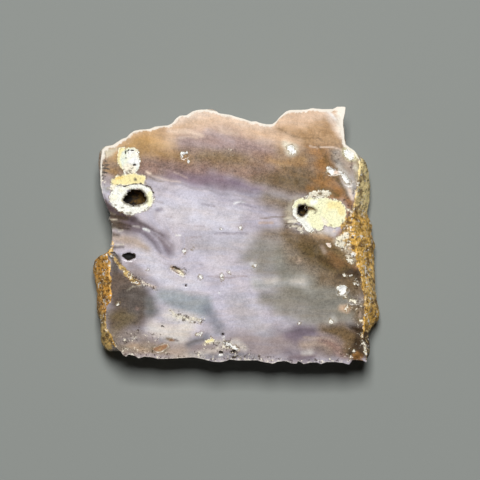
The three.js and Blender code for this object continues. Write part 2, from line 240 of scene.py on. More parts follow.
# Soft strokes that build up the banding: colour, softness, strength, and the points of the stroke
# as (x, y, half width). Later strokes lie over earlier ones.
BANDING = (
    # Broad zones: crest, belt, clear right side, smoky lower left, lower edge
    ("peach", 2.5, 1.0, ((-38, 25, 2), (-22, 29, 4.5), (-8, 33, 6), (4, 31, 5.6), (14, 32, 6), (31, 34, 7))),
    ("warm_brown", 3.0, 1.0, (
        (-38, 19, 4), (-22, 20.6, 4), (-8, 21, 4.2), (5, 19.4, 5), (15, 20, 7), (26, 21, 8),
    )),
    ("clear_grey", 3.5, 1.0, ((12, -6, 5), (18, -12, 7.5), (28, -13, 8), (24, -21, 6.5), (33, -22, 5))),
    ("mauve", 3.0, 1.0, (
        (-37, -31, 4), (-24, -31, 4), (-6, -32, 3), (8, -30, 5), (20, -30, 4.6), (34, -30, 5),
    )),
    ("smoke_brown", 2.4, 1.0, ((-34, -10, 2.4), (-31, -15, 5.5), (-29, -20, 6), (-33, -24, 3.6))),
    # Crest and upper edge
    ("tan", 1.8, 0.45, ((-35.6, 24.4, 1.4), (-30, 27, 1.5), (-21, 28.4, 2), (-14, 29, 1.6))),
    ("cream_pink", 1.2, 0.8, ((-17, 32, 0.8), (-10, 33.8, 1.2), (-4, 33, 0.9), (4, 31, 0.9), (9, 30.2, 0.8))),
    ("pink_mauve", 2.6, 0.95, ((-14, 26.2, 2.2), (-4, 26.2, 3), (3, 24.8, 2.8), (8, 22.6, 1.8))),
    ("golden_tan", 3.0, 1.0, ((-33.4, 22.6, 1.8), (-28, 25, 3.2), (-23, 25.4, 2.8), (-18, 25, 0.4))),
    ("deep_gold", 2.4, 0.8, ((-26, 23.4, 2.0), (-20.6, 22.6, 2.0), (-13, 20.6, 0.8))),
    ("peach", 2.2, 0.7, ((4, 29, 1.6), (9, 27.4, 2), (14, 27.6, 1.6))),
    ("cream_pink", 0.7, 0.75, ((-19, 29.3, 0.4), (-14, 28.4, 0.8), (-9.6, 27.3, 0.4))),
    ("cream_pink", 0.5, 0.6, ((-15.5, 26.8, 0.3), (-11, 26.4, 0.4))),
    ("cream_pink", 1.0, 0.5, ((-4, 28.6, 0.7), (0, 27.6, 0.6))),
    ("lavender", 1.2, 0.3, ((-8, 28.6, 0.7), (-1, 25.6, 0.6))),
    # Brown belt
    ("rose_brown", 2.0, 0.95, ((-25, 18.4, 2), (-17, 18.2, 2.2), (-9, 18.4, 2))),
    ("olive", 1.8, 0.6, ((-9, 21.6, 1), (-2.6, 21.6, 2), (2, 20.6, 1.3))),
    ("rose_brown", 1.8, 0.7, ((-4, 17.6, 1.4), (4, 17.4, 1.8), (10, 17.8, 1.4))),
    ("dim_brown", 2.2, 0.9, ((5, 15.8, 0.8), (10, 14.4, 2.4), (17, 13.8, 3.2), (21, 12.2, 2.4))),
    ("dark_olive", 1.8, 0.6, ((13, 15.2, 1.2), (18, 14, 1.6), (21.6, 12.8, 1))),
    ("purple", 1.7, 0.9, ((-18.5, 16, 0.8), (-12, 15.6, 1.8), (-4, 14.6, 1.9), (3, 13.4, 1.0), (8, 12, 0.4))),
    ("purple_grey", 1.0, 0.6, ((-8, 13.9, 0.8), (0, 12.4, 1), (7, 11, 0.9))),
    ("deep_purple", 0.5, 0.4, (
        (-18, 14.4, 0.15), (-12, 13.4, 0.25), (-6, 11.8, 0.3), (0, 10.8, 0.3), (8, 9.6, 0.25),
    )),
    ("cream_pink", 0.3, 0.5, ((-23.8, 17.2, 0.2), (-20, 15.4, 0.2), (-15.6, 14.4, 0.15))),
    ("cream_pink", 0.3, 0.4, ((-17.5, 17, 0.15), (-13.6, 15.9, 0.15))),
    # Upper right
    ("tan", 2.2, 0.95, ((14, 25.6, 2.6), (20, 26.8, 3.2), (27, 27.4, 3))),
    ("tan", 1.2, 0.7, ((12, 28.8, 1), (19, 29.2, 1.4), (25, 31, 1.4))),
    ("peach", 1.6, 0.8, ((11.6, 26.6, 1.6), (16.4, 25, 2.0))),
    ("dim_brown", 0.5, 0.7, ((10.6, 29.4, 0.1), (15, 27.8, 0.2), (20, 26.6, 0.2), (24, 25.8, 0.1))),
    ("cream_pink", 0.9, 0.8, ((24.6, 34, 0.5), (27, 31, 0.9), (29, 28, 1.3))),
    ("peach", 1.4, 0.45, ((-32, 26.4, 1.0), (-27, 28.2, 1.0))),
    # pale tip of the horn, with painted rim light on its thin edge
    ("edge_cream", 0.9, 0.9, ((30.2, 36, 2.0), (29.4, 33, 1.6), (29.4, 29, 1.1), (30.2, 25.6, 0.8))),
    ("warm_brown", 1.8, 0.75, ((14, 21.6, 2), (19, 21, 3), (24, 21, 2.6))),
    ("deep_gold", 1.6, 0.7, ((9, 20.6, 0.8), (13, 19.8, 1.4), (18, 20.4, 1.4))),
    ("orange_brown", 1.6, 1.0, ((20.6, 23.4, 1.0), (23.4, 22.4, 1.8), (24.6, 18.6, 2.0), (24, 15.6, 2.2))),
    ("orange_brown", 2.2, 0.95, ((22, 15.2, 0.9), (25, 14.4, 2.4), (29.4, 11.4, 2.1), (31.4, 7.4, 1.2))),
    ("dim_brown", 1.0, 0.8, ((13, 18.6, 0.5), (18, 17.8, 0.8), (22.4, 16.4, 0.6))),
    ("dark_olive", 0.5, 0.6, ((14, 17.4, 0.15), (18.6, 16.2, 0.3), (22, 14.4, 0.35), (26, 12.9, 0.3))),
    ("dim_brown", 0.5, 0.6, ((22, 18.6, 0.2), (26.4, 16.2, 0.3), (29.4, 13.4, 0.3))),
    ("dark_olive", 0.5, 0.6, ((23.2, 24.2, 0.2), (25.2, 21, 0.4), (25.6, 18.4, 0.3), (24.2, 15.4, 0.3))),
    ("orange_brown", 1.4, 1.0, ((20, 12.8, 0.6), (23, 12.4, 1.6), (28, 10.6, 1.6))),
    ("dark_olive", 0.6, 0.9, ((22, 12.9, 0.4), (25.4, 12.2, 0.55), (28.4, 10.4, 0.5))),
    ("warm_grey", 1.4, 0.9, ((28, 22.4, 1.2), (29, 19.6, 1.7), (31, 17, 1.6), (32.4, 12.6, 1))),
    ("pink_tan", 1.0, 0.6, ((28.6, 22.4, 0.9), (30.6, 19.6, 1.2), (32, 17, 0.8))),
    ("dark_olive", 0.6, 0.8, ((27.6, 15.8, 0.5), (30.2, 12, 0.6), (31.6, 8.8, 0.4))),
    ("khaki", 0.9, 0.8, ((34.2, 21.4, 1), (34.6, 16, 1.3), (34.2, 10, 1))),
    # Middle, where the stone is palest
    ("pale_lavender", 3.2, 0.9, ((-24, 9.6, 1.2), (-16, 6, 4), (-8, 4.6, 4), (0, 4, 2.6))),
    ("dusk_lavender", 1.6, 0.8, ((-4, 10.2, 0.7), (3, 8.6, 1.3), (8, 7.2, 1.4))),
    ("brown_grey", 2.2, 0.95, ((8, 10.2, 1.6), (12, 9, 2.2), (15, 8.4, 2.4), (14.4, 4, 2))),
    ("dim_brown", 2.2, 0.55, ((8.4, 8.6, 1.2), (13, 7.6, 2.0))),
    ("bone", 1.4, 0.55, ((16.4, 9.6, 0.8), (14.8, 6.6, 1.0), (15.8, 3.4, 0.8))),
    ("dusk_lavender", 1.8, 0.8, ((3, 2.6, 1.6), (8, 3.4, 1.9))),
    ("grey_lavender", 2.4, 0.85, ((-12, -2.6, 1.8), (-3, -2.8, 2.6), (3, -1.8, 2.2))),
    ("pale_lavender", 2.0, 0.5, ((-6, -7.4, 1.4), (-3, -9, 1.6))),
    # Brown and clear grey on the right
    ("warm_grey", 2.6, 0.95, ((3, -6.4, 2), (7, -3.4, 3), (7, -8.6, 2.6))),
    ("brown_grey", 2.4, 0.95, ((8, 0.4, 1.6), (13, 0, 2.4), (17, -6, 3.4), (24, -8, 3.6))),
    ("dim_brown", 1.8, 0.85, ((12.6, 0.6, 1), (18, -0.6, 1.8), (23, -0.2, 1.4))),
    ("dim_brown", 1.6, 1.0, ((19, -1.6, 1.8), (26, -2.4, 2.6), (30, -6, 2.2))),
    ("dark_olive", 2.2, 0.95, ((15, -1.8, 1), (20, -4.4, 2.6), (26, -6.8, 3.4), (30.4, -10.6, 3))),
    ("dark_brown", 0.9, 0.6, ((22.6, -6.2, 0.5), (26, -7.4, 0.6), (28, -9.6, 0.7))),
    ("red_brown", 1.5, 0.5, ((26.2, -5.4, 0.8), (28.6, -7.6, 1.5))),
    ("pink_tan", 0.7, 0.75, ((24.4, -3.2, 0.6), (25, -4.6, 0.5))),
    ("pink_tan", 0.8, 0.5, ((17.7, -7.8, 0.6),)),
    ("pale_grey", 1.6, 0.9, ((5, -13.4, 1.5), (12, -13.4, 0.9), (18.4, -13, 1.8))),
    ("cream_white", 1.4, 0.5, ((8.6, -12.6, 0.7), (10.8, -12.4, 0.8))),
    ("cream_white", 1.4, 0.55, ((16, -13.2, 0.7), (18, -13, 0.9))),
    ("white", 1.2, 0.8, ((5.1, -8.3, 0.7),)),
    ("white", 1.2, 0.8, ((26.2, -23.9, 0.7),)),
    ("white", 1.0, 0.7, ((29.3, -15.2, 1.2),)),
    ("pale_lavender", 1.8, 0.6, ((2, -18.4, 1.4), (5, -20.6, 1.6))),
    ("warm_grey", 2.2, 0.9, ((12, -20.6, 2), (18, -22, 2.4), (25, -22.6, 1.6))),
    ("clear_grey", 2.0, 0.85, ((8, -17.6, 2.4), (14, -18, 2.6), (22, -17.6, 2))),
    ("grey_lavender", 2.2, 0.9, ((0, -18, 2.4), (2, -23, 2.6), (8, -26, 1.8))),
    ("dim_brown", 1.8, 0.9, ((24, -12, 1.3), (30, -13.4, 2), (33.4, -15.4, 2))),
    # dark stone, with painted shade for the shallow vug that lies here
    ("dark_brown", 0.9, 0.95, ((28.2, -11.8, 0.7), (31, -11.1, 1.3), (33.4, -10.4, 1.4), (34.0, -12.6, 1.0))),
    ("dim_brown", 1.4, 0.8, ((31.6, -20.6, 1), (34, -20, 1.6), (34, -24, 1.2))),
    # Lower right corner
    ("purple_grey", 1.4, 1.0, ((14, -27.6, 1.2), (17, -27.8, 2.2), (21, -27, 1.2))),
    ("pink_tan", 1.2, 0.7, ((18.6, -30.6, 0.8), (22.6, -29.6, 1.0), (26, -31.6, 1.2))),
    ("rose_brown", 1.4, 0.9, ((23, -28.8, 0.8), (27, -30.4, 1.4), (30, -33, 1.6))),
    ("purple_grey", 1.6, 0.6, ((14, -32.4, 0.8), (20, -34, 1.2))),
    ("smoke_brown", 1.8, 0.6, ((22, -31, 1.0), (26, -33, 1.4))),
    ("dim_brown", 1.4, 1.0, ((24, -26, 1.0), (29, -27, 2.2), (32, -29, 2.6), (31.4, -32, 1.6))),
    ("dark_brown", 1.0, 1.0, ((32, -25.8, 0.8), (35, -27, 1.6), (34.2, -30.6, 1.9), (32.6, -33, 1.6))),
    ("dark_brown", 0.5, 0.35, ((15, -26.6, 0.15), (22, -26.6, 0.2), (27, -24.6, 0.25), (34.4, -25.4, 0.5))),
    ("pink_tan", 0.35, 0.6, ((19.4, -28.7, 0.2), (24, -28.4, 0.25), (28, -30.0, 0.15))),
    ("violet_shadow", 0.6, 0.8, ((14.6, -33.9, 0.3), (18, -33.4, 0.6), (21.2, -33.6, 0.4))),
    ("cream_white", 0.8, 0.7, ((18.2, -32.5, 0.3), (20.2, -32.2, 0.5))),
    # Lower left
    ("pale_lavender", 2.2, 0.95, ((-26, -4.4, 2), (-22.6, -9, 2.6), (-18, -13, 1.6), (-11, -13.2, 1.4))),
    ("mauve", 1.4, 0.8, ((-29.4, -8.4, 0.8), (-26.6, -11.4, 1.2), (-22, -13.6, 0.7))),
    ("blue_grey", 1.6, 1.0, ((-20, -17, 2.2), (-15, -18, 3.0), (-9.6, -20, 3.0))),
    ("slate", 1.6, 0.75, ((-8.6, -20.6, 1.0), (-6.8, -23, 1.8), (-5.2, -26.4, 1.6))),
    ("smoke", 2.0, 0.95, ((-31, -17, 2), (-26.6, -17, 2.8), (-28, -20.6, 2.6))),
    ("ash", 1.6, 0.95, ((-23.6, -18.4, 1.2), (-22.8, -21.4, 1.6))),
    ("olive_smoke", 1.8, 0.8, ((-35, -22.4, 1.4), (-32, -22.6, 2.2), (-29.4, -22.8, 1.6), (-33.6, -26, 1.4))),
    ("cream_white", 1.8, 0.8, ((-23, -25.6, 1.4), (-15.6, -27.4, 3.0), (-13, -23.6, 1.5), (-19, -22.2, 1.2))),
    ("brown_grey", 1.8, 0.6, ((-33, -28.2, 1.6), (-27, -27.6, 1.7), (-24, -30, 1))),
    ("pink_tan", 1.6, 0.8, ((-31, -31.6, 0.9), (-25, -31.4, 1.2), (-14, -32.4, 1.4))),
    ("brown_grey", 1.4, 0.9, ((-34.4, -27.6, 1.6), (-33, -31, 1.6), (-20, -31.6, 0.7))),
    ("peach", 1.0, 0.4, ((-28.6, -30.6, 0.8), (-25.6, -32.2, 0.7))),
    ("slate", 1.3, 0.9, ((-13, -31.0, 0.7), (-11, -29.4, 1.2), (-8.4, -28.0, 1.0))),
    ("smoke", 0.6, 0.6, ((-13.4, -30.8, 0.3), (-11.6, -29.8, 0.6), (-9.4, -28.6, 0.5))),
    ("slate", 0.8, 0.6, ((-12, -33.6, 0.5), (-4, -33.4, 0.8), (6, -34, 0.6))),
    ("cream_white", 1.0, 0.7, (
        (-17, -34, 0.6), (-12, -33.8, 0.5), (-7, -32, 0.5), (0, -30.2, 0.7), (3, -32, 0.6),
    )),
    ("bone", 0.7, 0.7, ((-8.6, -30.2, 0.4), (-6, -29.3, 0.5), (-3, -29.6, 0.3))),
    # Dark band that runs in from the left notch, with a second one below it
    ("pink_tan", 1.4, 0.9, ((-34.6, -0.6, 1.4), (-28, -1.6, 1.4), (-24.6, -4, 1))),
    ("smoke_brown", 1.0, 1.0, ((-36, 7.4, 0.8), (-34, 3.6, 2.0), (-30.6, 2.6, 2.0), (-27.4, 2.0, 1.4))),
    ("violet_shadow", 1.6, 0.8, ((-30, 3, 1.9), (-25, 1.2, 2.0), (-21.4, -1.2, 1.9), (-19, -4.2, 1.4))),
    ("deep_purple", 0.6, 1.0, ((-37.4, 11.2, 0.8), (-35, 7.8, 1.0), (-33, 5.9, 1.0), (-29, 4.4, 0.9))),
    ("deep_purple", 0.6, 0.8, ((-29, 4.2, 0.8), (-26, 3.0, 0.5), (-23.2, 1.6, 0.4), (-20.6, -0.6, 0.2))),
    ("deep_purple", 0.5, 0.5, ((-26.4, 0.8, 0.25), (-23, -1.8, 0.4), (-21, -4.6, 0.25))),
    ("deep_purple", 1.0, 0.35, ((-20.4, -2.0, 0.4), (-18.2, -5.0, 0.8))),
    ("lavender", 0.4, 0.6, ((-25, 1.6, 0.1), (-22, -1.0, 0.3), (-20, -4.4, 0.2))),
    ("lavender", 0.35, 0.4, ((-26, 2.2, 0.1), (-22, 0.4, 0.2), (-18.6, -3.4, 0.15))),
    ("dark_brown", 0.5, 0.85, ((-34.8, 3.2, 0.7), (-32, 2.6, 0.5), (-29.6, 2.2, 0.2))),
    ("dark_brown", 0.5, 0.8, ((-34.6, 0.2, 0.6), (-32.6, 0.1, 0.3))),
    ("dark_brown", 0.4, 0.8, ((-34.2, -3.7, 0.4), (-31.4, -3.3, 0.25))),
    ("smoke", 0.6, 0.95, ((-35.2, -4.8, 0.8), (-33, -6.4, 1.4), (-33.8, -8.4, 1.4))),
    # Brown margin between the right eye and the rind
    ("red_brown", 1.2, 0.95, (
        (31.2, 9.0, 0.8), (31, 4.2, 1.4), (29.6, 0.4, 1.6), (31, -4, 2.2), (32.4, -8, 1.6),
    )),
    ("dim_brown", 0.9, 0.7, ((35.0, -12, 0.9), (35.2, -18, 0.8), (35.6, -23, 0.8))),
    ("olive", 0.8, 0.9, ((28.6, -4.4, 1.1), (31.8, -7.4, 1.2))),
    ("dim_brown", 1.2, 0.6, ((14, 1.0, 0.8), (19.4, -0.9, 1.4), (26.4, -1.6, 1.2))),
    ("tan", 1.0, 0.8, ((20.6, 0.6, 0.6), (24.4, 0.2, 1.0), (27, -1.2, 0.6))),
    ("bone", 1.2, 0.4, ((18.6, 1.8, 0.6), (23, 1.4, 0.9), (26.6, 1.2, 0.8))),
    ("bone", 1.0, 0.6, ((28.4, -1.4, 1.0), (30.4, -3.4, 1.0), (32.2, -6, 0.8))),
    # Left margin beside the upper spot
    ("bone", 0.8, 0.9, ((-36.8, 23.8, 0.9), (-35.2, 23.4, 1.1), (-33.6, 24.4, 0.4))),
    ("warm_brown", 0.9, 0.95, ((-36.4, 19, 1.0), (-34.6, 18.4, 1.8), (-33.4, 17.4, 0.9))),
    ("deep_gold", 0.8, 0.7, ((-35.6, 17.6, 0.7), (-33.6, 17.4, 0.6))),
    ("bone", 0.5, 0.6, ((-38.4, 20.6, 0.4), (-38.4, 14.6, 0.4))),
    ("mauve", 0.7, 0.8, ((-37.2, 14.6, 0.5), (-35.4, 14.6, 0.7))),
    ("pale_grey", 0.7, 0.8, ((-37, 12.8, 0.4), (-35.6, 12.2, 0.6))),
)

# Narrow streaks and small clouds: colour, softness, strength and stroke, as above
STREAKS = (
    ("dark_brown", 0.25, 0.8, ((-37.9, 18.5, 0.3), (-36.4, 18.6, 0.25), (-35.4, 19, 0.1))),
    ("dark_brown", 0.25, 0.8, ((-37.8, 17.4, 0.3), (-36.6, 17.4, 0.2))),
    ("dark_brown", 0.25, 0.75, ((-37.7, 16.4, 0.2), (-36.9, 16.3, 0.15))),
    ("dark_brown", 0.25, 0.7, ((-37.8, 15.7, 0.25),)),
    ("cream", 0.2, 0.8, ((-37.4, 16.8, 0.2), (-36.8, 16.8, 0.15))),
    ("cream", 0.3, 0.8, ((-37, 22, 0.35), (-36.6, 21.6, 0.3))),
    ("cream", 0.3, 0.6, ((-35.6, 21.8, 0.4),)),
    ("cream_pink", 0.25, 0.9, ((-24.9, 17.5, 0.25), (-23.7, 16.9, 0.3))),
    ("brown_grey", 0.2, 0.7, ((-24.2, 16.1, 0.15), (-22, 15, 0.2), (-20, 14.7, 0.15))),
    ("purple_grey", 0.5, 0.8, ((-21.9, 6.7, 0.3), (-20.7, 7.0, 0.35))),
    ("rose_brown", 0.4, 0.45, ((-22.2, 9.2, 0.2), (-20.4, 8.9, 0.2))),
    ("cream", 0.2, 0.75, ((-35.2, 6.2, 0.2), (-33.6, 5.7, 0.12))),
    ("cream", 0.2, 0.6, ((-34.9, 4.4, 0.2), (-33, 3.9, 0.12))),
    ("cream", 0.25, 0.8, ((-34.8, 2.1, 0.25), (-32.8, 1.8, 0.12))),
    ("cream", 0.25, 0.7, ((-32.4, 1.1, 0.22), (-31.4, 1.1, 0.12))),
    ("cream", 0.2, 0.7, ((-33.2, -2.7, 0.15), (-31.2, -2.8, 0.1))),
    ("white", 0.2, 0.95, ((-25.7, 1.7, 0.2), (-24.7, 1.3, 0.3), (-23.9, 1.0, 0.15))),
    ("cream_white", 0.25, 0.7, ((-28.6, 2.6, 0.1), (-26.8, 2.2, 0.18))),
    ("white", 0.2, 0.8, ((-16.7, -0.2, 0.1), (-15.4, -0.2, 0.15))),
    ("violet_shadow", 0.3, 0.75, ((-6, 0.2, 0.1), (-2, 0.5, 0.22), (3, 0.4, 0.1))),
    ("rose_brown", 0.3, 0.5, ((-12.6, -0.8, 0.15), (-9.6, -0.6, 0.12))),
    ("rose_brown", 0.3, 0.5, ((-11.4, 2.4, 0.12), (-8.8, 2.3, 0.12))),
    ("rose_brown", 0.35, 0.4, ((-20.2, 5.2, 0.15), (-17.6, 4.8, 0.15))),
    ("violet_shadow", 0.35, 0.5, ((-9.6, 8.4, 0.2), (-6.2, 8.0, 0.25))),
    ("purple_grey", 0.25, 0.7, ((0.6, 8.6, 0.1), (3, 8.1, 0.18), (5.4, 7.6, 0.1))),
    ("white", 0.25, 0.8, ((-0.6, 8.6, 0.2), (1.2, 9.2, 0.15), (2.4, 8.9, 0.1))),
    ("rose_brown", 0.3, 0.5, ((-8, -11.4, 0.1), (-2, -11.9, 0.15), (3, -11.4, 0.1))),
    ("dim_brown", 0.2, 0.8, ((6.6, 4.6, 0.1), (9.6, 4.8, 0.2), (13.2, 4.9, 0.15))),
    ("tan", 0.4, 0.7, ((6.4, 3.4, 0.25), (10, 3.2, 0.3))),
    ("bone", 0.25, 0.8, ((13.4, 4.4, 0.2), (15, 4.6, 0.3))),
    ("cream", 0.25, 0.9, ((14.4, 3.6, 0.25), (16.6, 3.8, 0.35))),
    ("cream", 0.25, 0.8, ((14.8, 2.3, 0.15), (16.2, 2.3, 0.3))),
    ("cream", 0.3, 0.8, ((16.8, 2.6, 0.3), (17.8, 1.5, 0.45))),
    ("dark_olive", 0.25, 0.8, ((13.4, 3.1, 0.15), (16.4, 2.9, 0.2), (18.4, 2.4, 0.25))),
    ("cream_pink", 0.2, 0.9, ((20.3, 24.4, 0.1), (22.4, 23.9, 0.16))),
    ("cream_pink", 0.2, 0.9, ((23.3, 24.3, 0.16), (26.4, 24.2, 0.12), (28.6, 23.6, 0.2), (29.3, 23.1, 0.12))),
    ("white", 0.5, 0.8, ((25.4, 34.4, 0.3), (26.6, 32.8, 0.35), (27.4, 31.6, 0.15))),
    ("cream", 1.1, 1.0, ((13.6, 25, 0.8), (15.3, 23.6, 1.5))),
    ("lemon", 0.8, 1.0, ((30.6, 23, 1.2), (31.8, 22.0, 1.6))),
    ("cream_white", 0.9, 0.95, ((28.2, 19, 0.3), (29.6, 16.6, 0.9), (30.9, 14.6, 1.2), (31.6, 11.4, 0.5))),
    ("bone", 0.4, 0.8, ((32.7, 19, 0.5), (33.2, 18, 0.5))),
    ("dark_brown", 0.8, 1.0, ((35.6, -26, 1.2), (35.4, -29, 1.6), (34.6, -32, 1.8))),
    ("dark_brown", 0.4, 0.9, ((-35.2, 6.0, 0.6), (-33, 5.0, 0.7), (-30, 4.4, 0.4))),
    ("dark_brown", 0.35, 0.85, ((-35, 2.6, 0.7), (-32, 1.8, 0.4), (-29.4, 1.6, 0.2))),
    ("cream_pink", 0.4, 0.85, ((31.2, 12.6, 0.3), (32.1, 9.8, 0.45))),
    ("dark_brown", 0.25, 0.8, ((26, 16.5, 0.15), (28.3, 16.6, 0.25), (29.4, 16.9, 0.12))),
    ("dim_brown", 0.35, 0.6, ((25.6, 18.8, 0.2), (26.8, 18.9, 0.15))),
    # Vein of golden specks and the pale line beside it
    ("ochre", 0.4, 0.75, (
        (-33.2, -7.2, 0.25), (-31.8, -8.7, 0.4), (-30.2, -10.4, 0.5), (-28.8, -12.2, 0.6), (-27, -13.3, 0.4),
    )),
    ("cream_pink", 0.35, 0.65, ((-26.4, -12.9, 0.25), (-24.4, -13.8, 0.35), (-22.4, -14.6, 0.3))),
    ("bone", 0.2, 0.6, ((-30, -15.3, 0.08), (-28.4, -14.3, 0.14), (-26.4, -13.8, 0.1))),
    ("rose_brown", 0.4, 0.4, ((-27.4, -20.4, 0.6),)),
    ("bone", 0.5, 0.7, ((-18.4, -20.8, 0.3), (-16.8, -22.2, 0.5), (-14, -23.1, 0.5), (-10, -23.5, 0.3))),
    ("blue_grey", 0.4, 0.5, ((-20.7, -29.2, 0.5),)),
    ("olive", 0.3, 0.85, ((-19.1, -28.7, 0.35), (-18, -28.9, 0.45))),
    ("red_brown", 0.3, 0.85, ((-18.2, -29.1, 0.3), (-17.2, -29.2, 0.3))),
    ("deep_purple", 0.25, 0.85, ((-16.9, -29.0, 0.28), (-15.9, -29.3, 0.1))),
    ("cream_white", 0.3, 0.7, ((-28.9, -28.5, 0.2), (-27.8, -28.4, 0.25))),
    ("smoke", 0.25, 0.6, ((-29.2, -26.2, 0.12), (-27.6, -27.2, 0.18), (-26.4, -27, 0.1))),
    ("white", 0.3, 0.8, ((-3.4, -28.4, 0.25),)),
    ("white", 0.3, 0.8, ((-4.6, -33.2, 0.35), (-3.8, -33.1, 0.2))),
    ("white", 0.25, 0.8, ((-4.6, -16.2, 0.2),)),
    ("cream_white", 0.4, 0.8, ((-2.8, -30, 0.3), (-1.6, -30.4, 0.4))),
    ("bone", 0.35, 0.7, ((-1.4, -31.6, 0.2), (0.6, -31.8, 0.25))),
    # Pits and margin on the lower right
    ("orange_brown", 0.35, 0.95, ((33.0, -33.2, 1.1), (33.8, -33.6, 1.1))),
    ("rind_brown", 0.6, 0.95, ((33.0, -33.8, 0.7), (34.2, -33.4, 0.7))),
    ("pink_tan", 0.4, 0.7, ((34.2, -21.6, 0.3), (34.1, -22.8, 0.3))),
    ("peach", 1.0, 0.9, ((29.2, -20.2, 0.7), (30.4, -20.4, 0.9))),
    ("tan", 0.5, 0.9, ((-17.8, -9.0, 0.4), (-16.4, -9.8, 0.6), (-15.0, -10.7, 0.5))),
    ("cream_pink", 0.3, 0.9, ((27.2, 1.0, 0.35),)),
)

# Crisp patches with ragged edges: colour, and the points of the stroke as (x, y, half width)
PATCHES = (
    # Upper left spot
    ("pale_yellow", ((-31.2, 22.8, 1.4), (-31.7, 21.0, 1.4), (-30.8, 19.2, 1.4))),
    ("lemon", ((-29.8, 23.0, 1.3), (-28.4, 22.8, 1.2))),
    ("green_white", ((-29.6, 21.2, 2.5), (-29.2, 19.6, 2.5))),
    ("white", ((-28.6, 22.0, 1.7), (-28.2, 20.2, 1.7))),
    ("cream", ((-30.2, 18.4, 1.2), (-28.6, 18.0, 1.0))),
    # Left eye
    ("pale_yellow", ((-33.6, 14.7, 1.0), (-31.6, 14.9, 1.5), (-28.2, 15.4, 1.55), (-26.2, 15.3, 1.3))),
    ("gold", ((-33.2, 15.7, 0.5), (-31.8, 15.9, 0.5))),
    ("cream", ((-35.0, 12.9, 0.35), (-34.0, 13.0, 0.9))),
    ("chalk", ((-31.2, 10.1, 3.7), (-29.0, 9.7, 4.1), (-26.6, 10.2, 3.8))),
    ("lemon", ((-23.8, 11.6, 0.6), (-24.0, 8.6, 0.7))),
    # Right eye
    ("lemon", ((18.2, 7.6, 2.6), (20.6, 7.2, 3.0), (22.6, 7.0, 3.0))),
    ("chalk", ((16.8, 6.3, 1.4), (18.4, 4.6, 1.5), (20.4, 2.8, 1.9))),
    ("lemon", ((24.0, 6.6, 3.6), (26.8, 6.2, 3.7), (26.9, 5.4, 3.5))),
    ("pale_yellow", ((26.0, 8.2, 1.0), (28.2, 8.3, 1.1), (29.2, 6.2, 0.9))),
    ("white", ((20.8, 8.8, 0.7), (22.0, 9.2, 0.5))),
    ("cream", ((21.0, 5.4, 0.6), (22.8, 4.6, 1.0), (24.6, 3.4, 0.7))),
    ("lemon", ((21.6, 4.2, 2.0), (22.8, 2.6, 1.4))),
    ("bone", ((20.2, 10.6, 0.7), (21.6, 11.4, 0.8), (23.0, 11.0, 0.5), (25.2, 11.2, 0.7))),
    ("cream", ((21.4, 12.0, 0.35), (24.9, 11.9, 0.4))),
    # Right margin, from the top down
    ("white", ((14.9, 24.0, 0.8), (15.6, 23.2, 0.9))),
    ("white", ((30.9, 22.3, 1.2), (31.6, 21.9, 1.2))),
    ("white", ((25.9, 17.9, 0.9), (26.6, 17.3, 0.9))),
    ("cream_pink", ((27.6, 17.4, 0.7), (28.4, 16.9, 0.5))),
    ("white", ((29.1, 17.0, 0.3), (29.9, 16.0, 0.7), (30.7, 14.9, 0.8))),
    ("olive", ((19.6, 7.4, 0.6), (21.8, 7.0, 0.3))),
    ("white", ((32.2, 6.3, 0.5),)),
    ("cream", ((31.0, 6.95, 0.25),)),
    ("cream", ((28.4, -1.2, 0.8), (30.2, -0.2, 1.1))),
    ("bone", ((28.0, -2.4, 0.6), (29.2, -2.6, 1.0))),
    ("cream_pink", ((25.4, -2.4, 0.5), (26.0, -3.4, 0.4))),
    ("white", ((32.4, -5.4, 0.75),)),
    ("cream", ((31.2, -7.0, 0.45), (32.0, -7.4, 0.3))),
    ("cream_pink", ((31.4, -3.6, 0.5),)),
    ("cream", ((34.2, -9.9, 0.3), (34.9, -9.3, 0.25))),
    ("white", ((28.9, -14.9, 0.9), (29.7, -15.2, 1.1), (29.2, -16.1, 0.6))),
    ("bone", ((-16.9, -9.5, 0.35), (-15.9, -10.0, 0.4), (-14.8, -10.9, 0.5))),
    ("cream", ((30.2, -16.9, 0.25), (30.2, -17.3, 0.2))),
    ("cream", ((31.6, -18.0, 0.3), (32.9, -18.1, 0.45), (32.7, -18.8, 0.25))),
    ("cream", ((30.9, -19.5, 0.22), (30.5, -20.6, 0.35))),
    ("cream", ((34.2, -23.7, 0.25), (34.9, -23.8, 0.28))),
    ("white", ((26.0, -23.8, 0.35), (26.5, -24.0, 0.35))),
    ("cream", ((32.3, -32.2, 0.35),)),
    ("cream_pink", ((31.8, -33.9, 0.35), (31.6, -34.5, 0.35))),
    # painted glint along the corner vug's edge, and below it a painted highlight on its thin blade
    ("cream", ((35.0, -27.2, 0.15), (35.0, -29, 0.25), (35.6, -31.0, 0.3))),
    ("white", ((35.8, -31.6, 0.25), (36.1, -33.4, 0.42), (35.9, -35.3, 0.3))),
    # Lower left
    ("red_brown", ((-22.6, -31.7, 0.6), (-21.2, -31.4, 1.0), (-19.4, -30.8, 0.7))),
    ("pale_yellow", ((-8.4, -29.8, 0.35), (-6.8, -29.1, 0.6))),
    ("white", ((-3.2, -29.9, 0.4), (-1.6, -30.6, 0.5), (0.4, -31.6, 0.35))),
    ("white", ((-10.8, -27.6, 0.35), (-9.6, -27.2, 0.25))),
    ("cream", ((-33.0, -19.3, 0.2), (-32.5, -18.9, 0.15))),
    ("cream", ((-37.2, -29.6, 0.2), (-36.4, -31.4, 0.35), (-35.0, -33.4, 0.25))),
    ("white", ((-39.0, -7.8, 0.3), (-38.3, -9.4, 0.2))),
    # painted glint across the open crack by the left notch
    ("white", ((-35.1, -5.0, 0.18), (-34.1, -6.2, 0.22), (-33.1, -7.2, 0.14))),
    # painted glint along the shallow vug by the right margin
    ("white", ((29.6, -11.1, 0.12), (30.8, -11.3, 0.18), (31.8, -11.4, 0.08))),
    ("bone", ((32.4, -13.3, 0.1), (33.9, -13.7, 0.15))),
)

